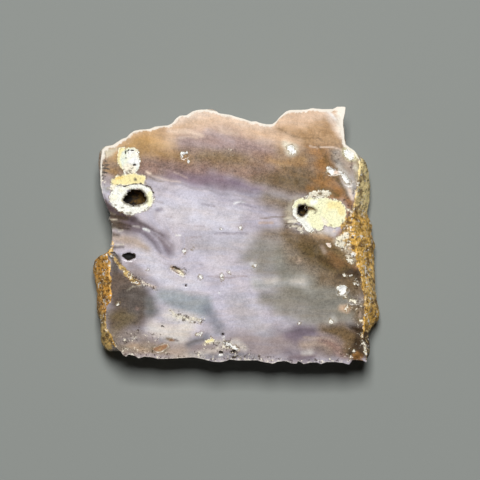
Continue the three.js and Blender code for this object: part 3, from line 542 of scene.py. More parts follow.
# Small glassy or chalky specks: x, y, radius
SPECKS = (
    (26.9, 17.9, 0.25),
    (5.1, -8.3, 0.36),
    (1.1, 1.9, 0.4),
    (-4.1, 1.7, 0.22),
    (-14.7, 22.4, 0.4),
    (-13.9, 22.8, 0.3),
    (-14.9, 21.7, 0.28),
    (-13.1, 20.3, 0.28),
    (-9.9, -11.7, 0.36),
    (-4.1, -11.3, 0.38),
    (-4.1, -12.5, 0.24),
    (-2.0, -10.4, 0.36),
    (-14.3, -4.4, 0.4),
    (-12.0, -4.0, 0.2),
    (-12.2, -24.1, 0.22),
    (-9.9, -23.9, 0.22),
    (17.5, -24.4, 0.16),
    (-24.3, -9.6, 0.14),
)

# Cracks, pits and ribs painted dark: dark lines of the stone, and painted shade in the cracks, pits and
# vugs; points as (x, y, half width)
DARK_LINES_AND_SHADE = (
    ((-32.9, 13.8, 0.1), (-32.0, 13.45, 0.14), (-30.6, 13.4, 0.14), (-29.3, 13.8, 0.08), (-28.2, 14.1, 0.18)),
    (
        (-28.2, 14.1, 0.18), (-27.0, 14.05, 0.12), (-26.4, 14.25, 0.22), (-25.6, 13.6, 0.1),
        (-24.6, 13.4, 0.24),
    ),
    ((-24.6, 13.4, 0.24), (-23.8, 13.1, 0.12), (-23.3, 12.4, 0.12), (-22.9, 11.7, 0.28)),
    ((-30.6, 22.8, 0.3), (-30.3, 22.2, 0.2)),
    ((-29.8, 23.4, 0.22),),
    ((-28.9, 23.35, 0.12), (-28.3, 23.3, 0.14)),
    ((-30.5, 21.2, 0.16),),
    ((-28.4, 19.2, 0.2), (-27.9, 19.3, 0.22)),
    ((-29.2, 18.35, 0.12), (-28.5, 18.4, 0.2)),
    ((-30.9, -5.8, 0.7), (-29.7, -6.0, 1.15), (-28.5, -5.9, 0.8)),
    ((-34.6, -4.9, 0.2), (-33.6, -5.0, 0.3), (-32.8, -6.2, 0.2)),
    ((-34.9, -6.0, 0.15), (-34.0, -7.2, 0.2)),
    ((-13.9, -14.0, 0.25),),
    ((-4.6, -15.7, 0.22),),
    ((-3.7, -27.5, 0.38),),
    ((-4.6, -32.4, 0.3), (-4.0, -32.5, 0.3)),
    ((-1.3, -32.4, 0.3), (-0.3, -32.2, 0.34)),
    ((-1.0, -33.9, 0.2), (-0.2, -33.9, 0.2)),
    ((-2.2, -29.7, 0.16),),
    ((-7.4, -34.2, 0.25),),
    ((-20.5, -25.2, 0.24), (-20.0, -25.3, 0.16)),
    ((35.9, -26.6, 0.45), (36.0, -28.4, 0.6), (35.9, -29.4, 0.3)),
    ((31.2, 6.0, 0.28), (31.0, 5.2, 0.25)),
    ((32.2, -0.6, 0.35), (33.2, -0.9, 0.3)),
    ((-38.3, 19.9, 0.1), (-37.2, 20.3, 0.16), (-35.6, 20.4, 0.06)),
    ((-38.5, 18.9, 0.1), (-36.4, 19.3, 0.2), (-35.0, 19.4, 0.1)),
    ((-38.5, 17.9, 0.2), (-37.0, 18.3, 0.22), (-35.0, 18.2, 0.14)),
    ((-38.4, 17.0, 0.18), (-37.0, 17.3, 0.2), (-35.4, 17.1, 0.1)),
    ((-38.4, 16.1, 0.16), (-37.4, 16.4, 0.18), (-36.0, 16.2, 0.08)),
    ((-38.2, 15.2, 0.16), (-36.6, 15.4, 0.12)),
    ((-18.1, -8.8, 0.12), (-17.0, -8.9, 0.2), (-15.6, -9.5, 0.1)),
    ((-17.0, -10.3, 0.1), (-16.0, -10.9, 0.18)),
)

# Olive flecks in the crusts: x, y, radius
FLECKS = (
    (-33.4, 8.3, 0.28),
    (-31.5, 7.35, 0.22),
    (-31.0, 7.35, 0.2),
    (-30.2, 6.1, 0.24),
    (-29.2, 6.05, 0.42),
    (-24.3, 7.5, 0.28),
    (-25.1, 6.8, 0.2),
    (-29.5, 17.7, 0.26),
    (-28.9, 17.7, 0.2),
    (-27.9, 15.2, 0.36),
    (-34.4, 12.2, 0.25),
    (-32.6, 16.7, 0.2),
    (-31.2, 16.7, 0.2),
    (-29.9, 16.8, 0.18),
    (-22.85, 9.8, 0.2),
    (-22.9, 9.1, 0.2),
    (22.1, 6.6, 0.2),
    (21.85, 6.0, 0.18),
    (22.5, 7.1, 0.16),
    (23.2, 11.4, 0.45),
    (24.9, 10.6, 0.3),
    (21.6, 10.0, 0.22),
    (29.5, 3.7, 0.26),
    (26.1, 2.5, 0.2),
    (17.0, 9.0, 0.2),
    (28.4, 4.0, 0.18),
)

# Stretches where pale and dark flecks lie close together: strength and stroke
FLECKED = (
    (0.65, ((30.4, 9.4, 0.5), (31.6, 4.4, 1.2), (29.6, -1.6, 1.6), (32.4, -7.4, 1.7))),
    (0.55, ((33.6, -13, 0.8), (33, -18.4, 1.6), (33.6, -24, 1.2))),
    (0.45, ((31.6, 20, 1), (32.4, 12, 1))),
    (0.2, ((28.4, 23.6, 1.2), (27.6, 20.6, 1.2))),
    (0.75, ((-33.2, -7.4, 0.5), (-30, -10.8, 0.9), (-27.4, -13.2, 0.8), (-22.4, -14.8, 0.6))),
    (0.9, ((-18.4, -20.8, 0.5), (-16, -22.8, 0.8), (-10, -23.6, 0.5))),
    (0.85, ((-18.0, -9.0, 0.5), (-16.4, -9.8, 0.8), (-14.8, -10.6, 0.7))),
    (0.8, ((-10.4, -33.4, 0.8), (-6, -30, 1.0), (-3, -31.4, 2.2), (4, -33.8, 1.2), (10, -34.6, 0.6))),
    (0.9, ((-30, -33.4, 0.4), (-20, -33.8, 0.5), (-8, -34.4, 0.6), (14, -35, 0.4), (30, -35.4, 0.4))),
    (0.8, ((36.0, -26, 0.6), (35.6, -31, 0.8), (35.6, -34, 0.8))),
    (0.5, ((-34, -30.6, 1), (-27.6, -27, 1.6), (-22, -28, 1.2))),
    (0.55, ((-31, -31.6, 0.8), (-18, -33.6, 0.8))),
    (0.35, ((30.6, -32.6, 1.4), (34, -30.4, 1.2), (34.4, -27.4, 0.6))),
    (1.0, ((-37.4, 23.4, 1.1), (-37.8, 18, 0.9), (-37.6, 14, 0.8))),
    (0.4, ((-1, 23, 0.6), (-3.6, 22.4, 0.7))),
    (0.5, ((13.6, 3.4, 1.0), (18.4, 1.2, 0.9), (24, 0.8, 1.0))),
)

# How wide the bright broken edge is, by stretch of the outline: bearing in degrees and width. The edge
# is pale broken stone with painted rim light on it.
HIGHLIT_EDGE_WIDTHS = (
    (-180, -0.4), (-140, -0.4), (-132, 0.0), (-60, 0.1), (-46, -0.1), (-40, -0.8), (28, -0.8), (34, 0.6),
    (45, 0.9), (50, 1.7), (54, 0.9), (90, 0.6), (140, 0.6), (147, 1.1), (151, 0.6), (159, 0.4), (166, -0.3),
)
HIGHLIT_EDGE_FALL = 0.6  # how fast the bright edge narrows down the wall

# Rind: stretches of the wall that carry it, as bearings in degrees, where it spills over the face,
# and its colour in plan
RIND_STRETCHES = ((-44.5, 32.0), (187.0, 223.0))
RIND_SPILLS = (
    (
        (33.6, 8.0, 0.5), (32.6, 4.6, 1.6), (31.4, 1.8, 2.5), (31.8, -1.0, 2.2), (33.4, -4, 1.3),
        (34.2, -8, 0.7),
    ),
    ((-33.6, -7.0, 0.2), (-31.8, -8.7, 0.5), (-30.2, -10.6, 0.6), (-28.8, -12.4, 0.7), (-27.4, -13.4, 0.4)),
    ((-34.8, -0.4, 0.4), (-34.7, -2.4, 1.0), (-34.5, -4.2, 0.6)),
    ((-37.8, -29, 0.8), (-36.4, -31, 1.2), (-35.4, -32.8, 0.8)),
    ((36.4, -10, 0.7), (36.2, -18, 0.9), (36.6, -24, 0.7)),
)
RIND_TINTS = (
    ("rind_khaki", 2.0, 1.0, ((34.5, 22, 4.8), (36.6, 11, 4.8))),
    ("rind_orange", 2.0, 1.0, ((-38, -8, 3.5), (-37, -20, 3.5))),
    ("rind_olive", 2.0, 1.0, ((-38, -24, 2.5), (-37, -26, 2.5))),
    ("rind_gold", 2.0, 1.0, ((-38, -29, 3), (-36, -33, 3))),
    ("umber", 0.8, 1.0, ((36.4, -28.2, 1.8), (36.6, -36, 2.4))),
    ("rind_olive", 1.0, 1.0, ((-33, -8, 1.6), (-28, -12.6, 1.6))),
    ("rind_gold", 1.5, 0.8, ((38.5, -10, 2), (38.5, -18, 2))),
)

# Lie of the layers in the stone: how far they fall to the right, and how much more they fall in a
# bent strip on the left
LAYER_FALL = 0.2
FALL_HEIGHTS = (-2.0, 12.0)  # level below the lower of these, full fall above the upper
BENT_STRIP = ((-37, 9, 3), (-27, 2.5, 4), (-18, -4, 3.5))
BENT_FALL = 0.5
BENT_FROM = -27.0
BENT_BLEND = (-2.0, 1.5)  # depths inside the strip over which it sets in
LAYER_RISE = 0.1  # how far the layers rise for each step down

# Softness of borders: between patches, around specks and flecks, and where flecked stretches, rind
# and spilt rind set in
PATCH_BLEND = 0.35
SPECK_BLEND = 0.2
FLECK_BLEND = (-0.15, 0.1)
FLECKED_BLEND = (-1.2, 0.8)
RIND_TURN = (-3.0, 2.0)  # in degrees along the rim
RIND_WIDTH = (1.2, -0.2)  # distances inside the rim between which rind on the face comes in
SPILL_BLEND = 0.8
RIND_UNDER = 0.1  # a patch that lies deeper than this keeps its own colour over rind

# Roughness that comes from the place: the material turns dull towards 1
WALL_DULLING = 0.15  # depth over which the wall turns dull below the edge
HOLLOW_ROUGH = 0.28
BACK_ROUGH = 0.55

# Noises in the material: scale in 1 / mm, detail and roughness
NOISES = {
    "bands": (0.4, 3.0, 0.6),
    "streaks": (1.3, 3.0, 0.6),
    "clouds": (0.35, 4.0, 0.55),
    "mottle": (1.3, 4.0, 0.65),
    "speckle": (3.6, 2.0, 0.7),
    "drift": (0.5, 3.0, 0.6),
    "frost": (1.4, 5.0, 0.65),
    "grit": (1.0, 5.0, 0.8),
    "lumps": (0.4, 3.0, 0.65),
    "pits": (0.7, 5.0, 0.75),
    "crumbs": (1.0, 4.0, 0.75),
    "wander": (0.7, 4.0, 0.7),
    "fray": (3.2, 2.0, 0.6),
    "ragged": (1.1, 4.0, 0.65),
    "marks": (1.8, 3.0, 0.7),
    "dark flecks": (0.9, 5.0, 0.75),
    "pale flecks": (0.9, 5.0, 0.8),
}
LAYER_STRETCH = (0.2, 0.6)  # how fast the bands' noise changes in x and in z; across the layers it is 1

# How much each noise darkens or brightens the stone, its grain, the rind and the chalk
STONE_SWINGS = {"bands": 0.4, "clouds": 0.45}
GRAIN_SWINGS = {"streaks": 0.34, "mottle": 0.6, "speckle": 0.85}
RIND_SWINGS = {"lumps": 2.0, "grit": 4.4}
CHALK_SWINGS = {"fray": 0.9, "mottle": 0.9}
CHALK_LIGHT = 0.97
GREY_GRAIN = 0.8  # strength of the grain in grey stone
BROWN_GRAIN = 1.4  # and how much more of it brown stone has
COOL_DRIFT = (0.98, 1.0, 1.02, 1)
WARM_DRIFT = (1.03, 1.0, 0.95, 1)

# Roughness of the surfaces, and the height of the bump on broken and on polished stone
POLISH = (0.15, 0.21)  # wavers between these
CHALK_ROUGHNESS = 0.62
BROKEN_ROUGHNESS = 0.85
STONE_IOR = 1.54
BROKEN_BUMP = 0.35
POLISHED_BUMP = 0.12

# Flat map for baked pictures: where the middle of the face and of the back lies in it and their
# scale, and the two strips in which the wall is laid out
FACE_MAP = (0.385, 0.65, 0.0094)
BACK_MAP = (0.882, 0.65, 0.0033)
WALL_MAP_SCALE = 0.0066
STRIP_START = 0.008
STRIP_TOPS = (0.005, 0.15)

# Camera: straight above the slab, far enough off for a nearly parallel view
VIEW_CENTRE = (1.04, -1.45)
VIEW_WIDTH = 132.6
CAMERA_HEIGHT = 1200.0
CAMERA_RANGE = 10.0  # in metres

# Studio light: name, place, width, height, all in metres, and watts. One broad softbox leans in from
# the top of the slab, so that the soft shadow lies below it. Low fills light the walls alone.
LIGHTS = (
    ("key", (0.0, 0.53, 1.5), 0.4, 0.52, 26.5),
    ("fill_left", (-1.4, -0.8, 0.08), 0.5, 0.16, 1.5),
    ("fill_right", (1.4, -0.8, 0.08), 0.5, 0.16, 1.5),
)
WORLD_STRENGTH = 0.008
FLOOR_SIZE = 6.0  # in metres
FLOOR_COLOUR = (144, 148, 144)
FLOOR_ROUGHNESS = 0.8
FLOOR_SHEEN = 0.2


def to_linear(colour):
    """An sRGB colour of 0 to 255 as linear light."""
    share = np.array(colour, float) / 255
    return np.where(share <= 0.04045, share / 12.92, ((share + 0.055) / 1.055) ** 2.4)


def smooth(low, high, value):
    """A smooth step from 0 at low to 1 at high."""
    share = np.clip((value - low) / (high - low), 0, 1)
    return share * share * (3 - 2 * share)


def noise_field(points, size):
    """Fractal noise of about -1 to 1 at each point, with features of the given size."""
    return np.array([noise.fractal(Vector(p) / size, *FRACTAL) for p in points])


def cell_distance(points, size):
    """Distance from each point to the nearest of a set of scattered cell centres, in cells."""
    return np.array([noise.voronoi(Vector(p) / size)[0][0] for p in points])


def warp(points, size, amount):
    """How far each point's colour is shifted in x and y, so that borders wander."""
    scaled = [Vector(p) / size for p in points]
    return amount * np.array([(noise.noise(p), noise.noise(p + WARP_OFFSET)) for p in scaled])


def inside(xy, stroke):
    """How deep each point lies inside a stroke. A stroke is a line with a width at each point."""
    deepest = np.full(len(xy), -FAR)
    for (ax, ay, a_width), (bx, by, b_width) in zip(stroke, stroke[1:] or stroke):
        start = np.array((ax, ay), float)
        along = np.array((bx - ax, by - ay), float)
        share = np.clip((xy - start) @ along / max(along @ along, SHORTEST), 0, 1)
        away = np.linalg.norm(xy - start - share[:, None] * along, axis=1)
        deepest = np.maximum(deepest, a_width + (b_width - a_width) * share - away)
    return deepest


def cast_reach(tree, bearings, height):
    """Distance from the Z axis to the outside of the solid at each bearing, at one height."""
    reach = []
    for bearing in bearings:
        out = Vector((math.cos(bearing), math.sin(bearing), 0))
        hit = tree.ray_cast((out * FAR + Vector((0, 0, height))) * MM, -out)[0]
        reach.append(hit.xy.length / MM)
    return np.array(reach)


def rim_bearings(tree, thickness):
    """Bearings of the columns, spaced evenly along the rim of the polished face."""
    bearings = np.linspace(-math.pi, math.pi, RIM_RAYS, endpoint=False)
    reach = cast_reach(tree, bearings, thickness - SKIN)
    points = np.stack([reach * np.cos(bearings), reach * np.sin(bearings)], axis=1)
    steps = np.linalg.norm(np.roll(points, -1, axis=0) - points, axis=1)
    travelled = np.concatenate([[0], np.cumsum(steps)])
    wanted = np.linspace(0, travelled[-1], COLUMNS, endpoint=False)
    columns = np.interp(wanted, travelled, np.append(bearings, math.pi))
    for tip in (bearings[np.argmax(points[:, 1])], bearings[np.argmin(points[:, 1])]):
        columns[np.argmin(np.abs(columns - tip))] = tip
    return columns


def rind_share(bearings):
    """1 where the wall is rind, 0 where it is broken stone."""
    degrees = np.degrees(bearings) % 360
    share = np.zeros(len(bearings))
    for start, end in RIND_STRETCHES:
        middle = (start + end) / 2
        away = np.abs((degrees - middle + 180) % 360 - 180)
        share = np.maximum(share, 1 - smooth(*RIND_TURN, away - (end - start) / 2))
    return share


def smoothed(reach):
    """The grid of reaches with the solid's facets evened out, but the rim left as it is."""
    soft = reach
    for _ in range(SMOOTHINGS):
        soft = (np.roll(soft, 1, axis=1) + 2 * soft + np.roll(soft, -1, axis=1)) / 4
        padded = np.concatenate([soft[:1], soft, soft[-1:]])
        soft = (padded[:-2] + 2 * padded[1:-1] + padded[2:]) / 4
    soft[: len(EDGE_DEPTHS)] = reach[: len(EDGE_DEPTHS)]
    return soft


def wall_grid(tree, thickness):
    """Rows of wall vertices from the rim down to the back, and the share of rind at each vertex."""
    bearings = rim_bearings(tree, thickness)
    rows = round((thickness - EDGE_DEPTHS[-1] - BASE_CHAMFER) / WALL_STEP)
    depths = np.concatenate([
        EDGE_DEPTHS,
        np.linspace(EDGE_DEPTHS[-1], thickness - BASE_CHAMFER, rows + 1)[1:],
        [thickness - BASE_CHAMFER / 3, thickness],
    ])
    heights = np.clip(thickness - depths, SKIN, thickness - SKIN)
    reach = smoothed(np.array([cast_reach(tree, bearings, height) for height in heights]))
    across, down = np.meshgrid(bearings, depths)
    flat = np.stack([reach * np.cos(across), reach * np.sin(across), thickness - down], axis=2)
    points = flat.reshape(-1, 3)
    rind = np.tile(rind_share(bearings), len(depths))
    below = smooth(0.0, RELIEF_FADE, down.ravel())

    scoops = SCOOP_DEPTH * (1 - np.clip(cell_distance(points, SCOOP_SIZE), 0, 1) ** 2)
    rubble = RUBBLE_DEPTH * (1 - np.clip(cell_distance(points, RUBBLE_SIZE), 0, 1))
    grain = GRAIN_HEIGHT * (0.5 - cell_distance(points, GRAIN_SIZE))
    lumps = LUMP_HEIGHT * noise_field(points, LUMP_SIZE)
    chips = CHIP_DEPTH * np.clip(noise_field(points, CHIP_SIZE), 0, 1)
    inward = (1 - rind) * (below * (scoops + rubble) + chips) - rind * below * (grain + lumps)
    rounding = BASE_ROUNDING * smooth(thickness - BASE_CHAMFER, thickness, down.ravel())
    scale = (1 - (inward + rounding) / reach.ravel())[:, None]
    points[:, :2] *= scale
    return points.reshape(len(depths), COLUMNS, 3), rind


def hollow_size(hollow, angle):
    """The mouth's wavering size at an angle, as a share of its plain ellipse."""
    x, y = hollow[:2]
    broad, fine = MOUTH_WAVES
    return 1 + broad * np.sin(3 * angle + x) + fine * np.sin(5 * angle + y)


def hollow_share(hollow, xy):
    """How far out each point is in a hollow: 0 in the middle, 1 at the edge of the mouth."""
    x, y, half_length, half_width, degrees, _ = hollow
    turn = math.radians(degrees)
    dx, dy = (xy - (x, y)).T
    u = (dx * math.cos(turn) + dy * math.sin(turn)) / half_length
    v = (dy * math.cos(turn) - dx * math.sin(turn)) / half_width
    return np.hypot(u, v) / hollow_size(hollow, np.arctan2(v, u))


def clear_of(hollow, xy):
    """Whether each point lies well outside a hollow's mouth."""
    return hollow_share(hollow, xy) > 1 + CLEARANCE / min(hollow[2:4])


def hollow_rings(hollow, profile):
    """Vertices of a hollow as x, y and depth, ring by ring from its mouth to its blind end."""
    x, y, half_length, half_width, degrees, depth = hollow
    turn = math.radians(degrees)
    points = []
    for down, share in profile:
        sides = max(6, round(math.pi * (half_length + half_width) * share / RING_STEP))
        angle = np.arange(sides) / sides * 2 * math.pi
        around = np.column_stack([np.cos(angle), np.sin(angle), np.full(sides, x + down)])
        scallops = noise_field(around * min(half_length, half_width), RAGGED_SIZE) - RAGGED_BIAS
        size = share * hollow_size(hollow, angle) * (1 + RAGGED_MOUTH * scallops)
        u = half_length * size * np.cos(angle)
        v = half_width * size * np.sin(angle)
        ring_x = x + u * math.cos(turn) - v * math.sin(turn)
        ring_y = y + u * math.sin(turn) + v * math.cos(turn)
        points.append(np.stack([ring_x, ring_y, np.full(sides, depth * down)], axis=1))
    return np.concatenate(points)


def speck_points(x, y, radius):
    """Extra vertices that keep a small speck round."""
    points = [(x, y)]
    for share in SPECK_RINGS:
        points += [
            (x + radius * share * math.cos(turn), y + radius * share * math.sin(turn))
            for turn in np.arange(SPECK_SIDES) / SPECK_SIDES * 2 * math.pi + share
        ]
    return points


def crack_points(stroke):
    """Extra vertices along a narrow stroke and to both sides of it."""
    points = []
    for (ax, ay, a_width), (bx, by, b_width) in zip(stroke, stroke[1:] or stroke):
        length = math.hypot(bx - ax, by - ay)
        if length == 0:
            return speck_points(ax, ay, a_width)
        normal = np.array((ay - by, bx - ax)) / length
        for share in np.linspace(0, 1, max(2, round(length / RING_STEP))):
            middle = np.array((ax + (bx - ax) * share, ay + (by - ay) * share))
            width = a_width + (b_width - a_width) * share
            points += [tuple(middle + normal * width * side) for side in CRACK_ROWS]
    return points


def grid_points(step):
    """Points of a triangular grid over the whole slab."""
    row = step * math.sqrt(3) / 2
    ys = np.arange(-FAR, FAR, row)
    xs = np.arange(-FAR, FAR, step)
    x, y = np.meshgrid(xs, ys)
    x = x + (np.arange(len(ys)) % 2)[:, None] * step / 2
    return np.stack([x.ravel(), y.ravel()], axis=1)


def ring_distance(xy, ring):
    """Each point's bearing, and how far inside a star-shaped ring it lies."""
    bearings = np.arctan2(ring[:, 1], ring[:, 0])
    order = np.argsort(bearings)
    reach = np.hypot(ring[:, 0], ring[:, 1])
    mine = np.arctan2(xy[:, 1], xy[:, 0])
    limit = np.interp(mine, bearings[order], reach[order], period=2 * math.pi)
    return mine, limit - np.hypot(xy[:, 0], xy[:, 1])


def keep_inside(xy, ring, margin):
    """The points that lie inside a star-shaped ring by a margin."""
    return xy[ring_distance(xy, ring)[1] > margin]


def drop_close(xy, taken, gap):
    """The points that keep a gap from the ones already taken, by cells of that size."""
    cells = {tuple(cell) for cell in np.floor(taken / gap).astype(int)}
    near = {(a + i, b + j) for a, b in cells for i in (-1, 0, 1) for j in (-1, 0, 1)}
    mine = np.floor(xy / gap).astype(int)
    return xy[[tuple(cell) not in near for cell in mine]]


def triangulate(ring, inner):
    """Triangles over the inside of a ring, as indices into the ring and then the inner points."""
    coordinates = [Vector(p) for p in np.concatenate([ring, inner])]
    outline = [list(range(len(ring)))]
    _, _, faces, sources, _, _ = delaunay_2d_cdt(coordinates, [], outline, 1, SAME_POINT)
    source = [origin[0] for origin in sources]
    return [tuple(source[corner] for corner in face) for face in faces]


def face_points(rim):
    """Inner vertices of the polished face as x, y and depth below it."""
    sunk = [hollow_rings(hollow, TUBE_PROFILE) for hollow in TUBES]
    sunk += [hollow_rings(pit, PIT_PROFILE) for pit in PITS]
    sunk = np.concatenate(sunk)
    flat = [point for speck in SPECKS for point in speck_points(*speck)]
    flat += [point for stroke in DARK_LINES_AND_SHADE for point in crack_points(stroke)]
    flat = np.array(flat)
    grid = grid_points(FACE_STEP)
    for hollow in TUBES + PITS:
        flat = flat[clear_of(hollow, flat)]
        grid = grid[clear_of(hollow, grid)]
    flat = keep_inside(flat, rim, RIM_MARGIN)
    cells = np.round(flat / MERGE_STEP).astype(int)
    flat = flat[np.unique(cells, axis=0, return_index=True)[1]]
    grid = drop_close(keep_inside(grid, rim, RIM_MARGIN), flat, MARK_GAP)
    level = np.concatenate([flat, grid])
    level = np.column_stack([level, np.zeros(len(level))])
    return np.concatenate([keep_inside(sunk, rim, RIM_MARGIN), level])


def build_points(tree, thickness):
    """All vertices and faces, with what the colours need to know about each vertex."""
    walls, rind = wall_grid(tree, thickness)
    rows = len(walls)
    rim = walls[0, :, :2]
    face = face_points(rim)
    base = walls[-1, :, :2]
    back = keep_inside(grid_points(BACK_STEP), base, RIM_MARGIN)

    points = np.concatenate([
        walls.reshape(-1, 3),
        np.column_stack([face[:, :2], thickness - face[:, 2]]),
        np.column_stack([back, np.zeros(len(back))]),
    ])
    first_face = rows * COLUMNS
    first_back = first_face + len(face)

    faces = []
    for row in range(rows - 1):
        upper = row * COLUMNS
        lower = upper + COLUMNS
        for column in range(COLUMNS):
            after = (column + 1) % COLUMNS
            faces.append((upper + column, lower + column, lower + after, upper + after))
    for triangle in triangulate(rim, face[:, :2]):
        faces.append(tuple(i if i < COLUMNS else first_face + i - COLUMNS for i in triangle))
    base_row = (rows - 1) * COLUMNS
    for triangle in triangulate(base, back):
        corners = [base_row + i if i < COLUMNS else first_back + i - COLUMNS for i in triangle]
        faces.append(tuple(reversed(corners)))
    return points, faces, {
        "rows": rows,
        "rind": rind,
        "rim": rim,
        "first_face": first_face,
        "first_back": first_back,
    }


def colour_places(points, parts, thickness):
    """Where in the banding each vertex takes its colour from. A wall takes it from near its rim."""
    places = points[:, :2].copy()
    count = parts["first_face"]
    rim = np.tile(parts["rim"], (parts["rows"], 1))
    depth = thickness - points[:count, 2]
    lookup = WALL_LOOKUP + WALL_SLANT * depth
    inner = rim * (1 - lookup / np.linalg.norm(rim, axis=1))[:, None]
    places[:count] = inner + depth[:, None] * BAND_DRIFT
    places[parts["first_back"] :] += thickness * np.array(BAND_DRIFT)
    return places


def paint(colour, places, strokes):
    """Lays soft strokes over a colour, in order."""
    for name, softness, strength, stroke in strokes:
        cover = strength * smooth(-softness, softness, inside(places, stroke))
        colour += cover[:, None] * (to_linear(PALETTE[name]) - colour)
    return colour


def plain(name, places):
    return np.tile(to_linear(PALETTE[name]), (len(places), 1))


def paint_patches(places):
    """How deep each place lies in a crisp patch or speck, and that patch's colour."""
    deepest = np.full(len(places), -LIMIT)
    tint = plain("chalk", places)
    for name, stroke in PATCHES:
        depth = inside(places, stroke)
        cover = smooth(-PATCH_BLEND, PATCH_BLEND, depth)
        tint += cover[:, None] * (to_linear(PALETTE[name]) - tint)
        deepest = np.maximum(deepest, depth)
    for x, y, radius in SPECKS:
        depth = inside(places, ((x, y, radius),))
        tint[depth > -SPECK_BLEND] = to_linear(PALETTE["white"])
        deepest = np.maximum(deepest, depth)
    for x, y, radius in FLECKS:
        cover = smooth(*FLECK_BLEND, inside(places, ((x, y, radius),)))
        tint += cover[:, None] * (to_linear(PALETTE["olive_smoke"]) - tint)
    return np.clip(deepest, -LIMIT, LIMIT), tint


def highlit_edge_width(bearings):
    """Width of the bright edge, pale broken stone with painted rim light, at each bearing."""
    stations, widths = np.array(HIGHLIT_EDGE_WIDTHS).T
    return np.interp(np.degrees(bearings), stations, widths)


def layer_height(places, depth):
    """Height of each place in the stack of layers, which runs across the polished face."""
    x, y = places.T
    bent = smooth(*BENT_BLEND, inside(places, BENT_STRIP))
    fall = LAYER_FALL * smooth(*FALL_HEIGHTS, y)
    return y + fall * x + bent * BENT_FALL * (x - BENT_FROM) + LAYER_RISE * depth


def tube_painted_shade(tube, points, places):
    """Painted shade inside a tube: black, turning to the brown of the lit wall to the right."""
    across = (places[:, 0] - tube[0]) / tube[2] + TUBE_WAVER * noise_field(points, RAGGED_SIZE)
    wall = plain("black", places)
    wall += smooth(*TUBE_LIT_SIDE, across)[:, None] * (to_linear(PALETTE["lit_tube_brown"]) - wall)
    return wall


def surface_values(points, parts, thickness):
    """What the material has to know at every vertex, by name of the attribute."""
    depth = thickness - points[:, 2]
    count = parts["first_face"]
    is_wall = np.arange(len(points)) < count
    is_back = points[:, 2] < LEVEL
    is_face = ~is_wall & ~is_back

    places = colour_places(points, parts, thickness)
    seeds = np.column_stack([places, WARP_DEPTH * np.where(is_face, 0, depth)])
    banded = places + warp(seeds, *BAND_WARP) + warp(seeds * LAYER_SQUEEZE, *LAYER_WARP)
    streaked = places + warp(seeds, *STREAK_WARP) + warp(seeds, *FINE_STREAK_WARP)
    fine = places + warp(seeds, *MARK_WARP) + warp(seeds, *FINE_MARK_WARP)

    stone = paint(plain("lavender", places), banded, BANDING)
    stone = paint(stone, streaked, STREAKS)
    patch, tint = paint_patches(fine)
    dark = np.full(len(points), -LIMIT)
    # painted shade in cracks and pits, with the stone's dark lines
    for stroke in DARK_LINES_AND_SHADE:
        dark = np.maximum(dark, inside(places + CRACK_SHARE * (fine - places), stroke))
    fleck = np.zeros(len(points))
    for strength, stroke in FLECKED:
        fleck = np.maximum(fleck, strength * smooth(*FLECKED_BLEND, inside(banded, stroke)))
    bearings, within = ring_distance(fine, parts["rim"])
    fleck = np.maximum(fleck, MARGIN_FLECKS * smooth(MARGIN_WIDTH, 0.0, within))
    # how far inside the bright edge of pale stone and painted rim light each place lies
    edge = highlit_edge_width(bearings) - within

    # The upper wall is as pale as the edge above it, with the same painted rim light, and hides the face's
    # own marks
    edge[is_wall] = highlit_edge_width(bearings[is_wall]) - HIGHLIT_EDGE_FALL * depth[is_wall]
    patch[~is_face] = -LIMIT
    dark[~is_face] = -LIMIT
    fleck[~is_face] *= WALL_FLECKS
    edge[is_back] = -LIMIT

    # The two tubes have a dark lip, and painted shade darkens them quickly downwards
    is_sunk = is_face & (depth > LEVEL)
    for tube in TUBES:
        in_tube = is_sunk & (hollow_share(tube, places) < TUBE_REACH)
        lip = is_face & (depth < LEVEL) & (hollow_share(tube, fine) < 1 + LIP / tube[3])
        tint[lip] = to_linear(PALETTE["olive_smoke"])
        painted_shade = (in_tube * smooth(*TUBE_SHADE_DEPTHS, depth))[:, None]
        stone += painted_shade * (tube_painted_shade(tube, points, places) - stone)
        patch = np.where(in_tube, patch - CRUST_LOSS * smooth(*CRUST_SHADE_DEPTHS, depth), patch)

    rind = rind_share(bearings) * smooth(*RIND_WIDTH, within)
    rind[:count] = parts["rind"]
    for stroke in RIND_SPILLS:
        rind = np.maximum(rind, smooth(-SPILL_BLEND, SPILL_BLEND, inside(fine, stroke)))
    rind[is_back] = 0
    coated = (rind > 0) & (patch < RIND_UNDER)
    tint[coated] = paint(plain("rind_ochre", places), points[:, :2], RIND_TINTS)[coated]

    rough = np.zeros(len(points))
    rough[is_wall] = smooth(0.0, WALL_DULLING, depth[is_wall])
    for hollow in TUBES + PITS:
        rough[is_face & ~clear_of(hollow, places)] = HOLLOW_ROUGH
    rough[is_back] = BACK_ROUGH
    return {
        "stone": stone,
        "tint": tint,
        "patch": patch,
        "dark": dark,
        "edge": np.clip(edge, -LIMIT, LIMIT),
        "fleck": fleck,
        "layer": layer_height(places, depth),
        "rind": rind,
        "rough": rough,
    }


def add_attribute(mesh, name, values):
    """Gives every vertex its colour, where there are three values for each, or else its number."""
    if values.ndim == 2:
        attribute = mesh.attributes.new(name, "FLOAT_COLOR", "POINT")
        values = np.column_stack([values, np.ones(len(values))])
        attribute.data.foreach_set("color", values.astype(np.float32).ravel())
    else:
        attribute = mesh.attributes.new(name, "FLOAT", "POINT")
        attribute.data.foreach_set("value", values.astype(np.float32))


def flat_map(xy, middle_x, middle_y, scale):
    """Places on a flat face as places in the map."""
    return np.array((middle_x, middle_y)) + xy * scale


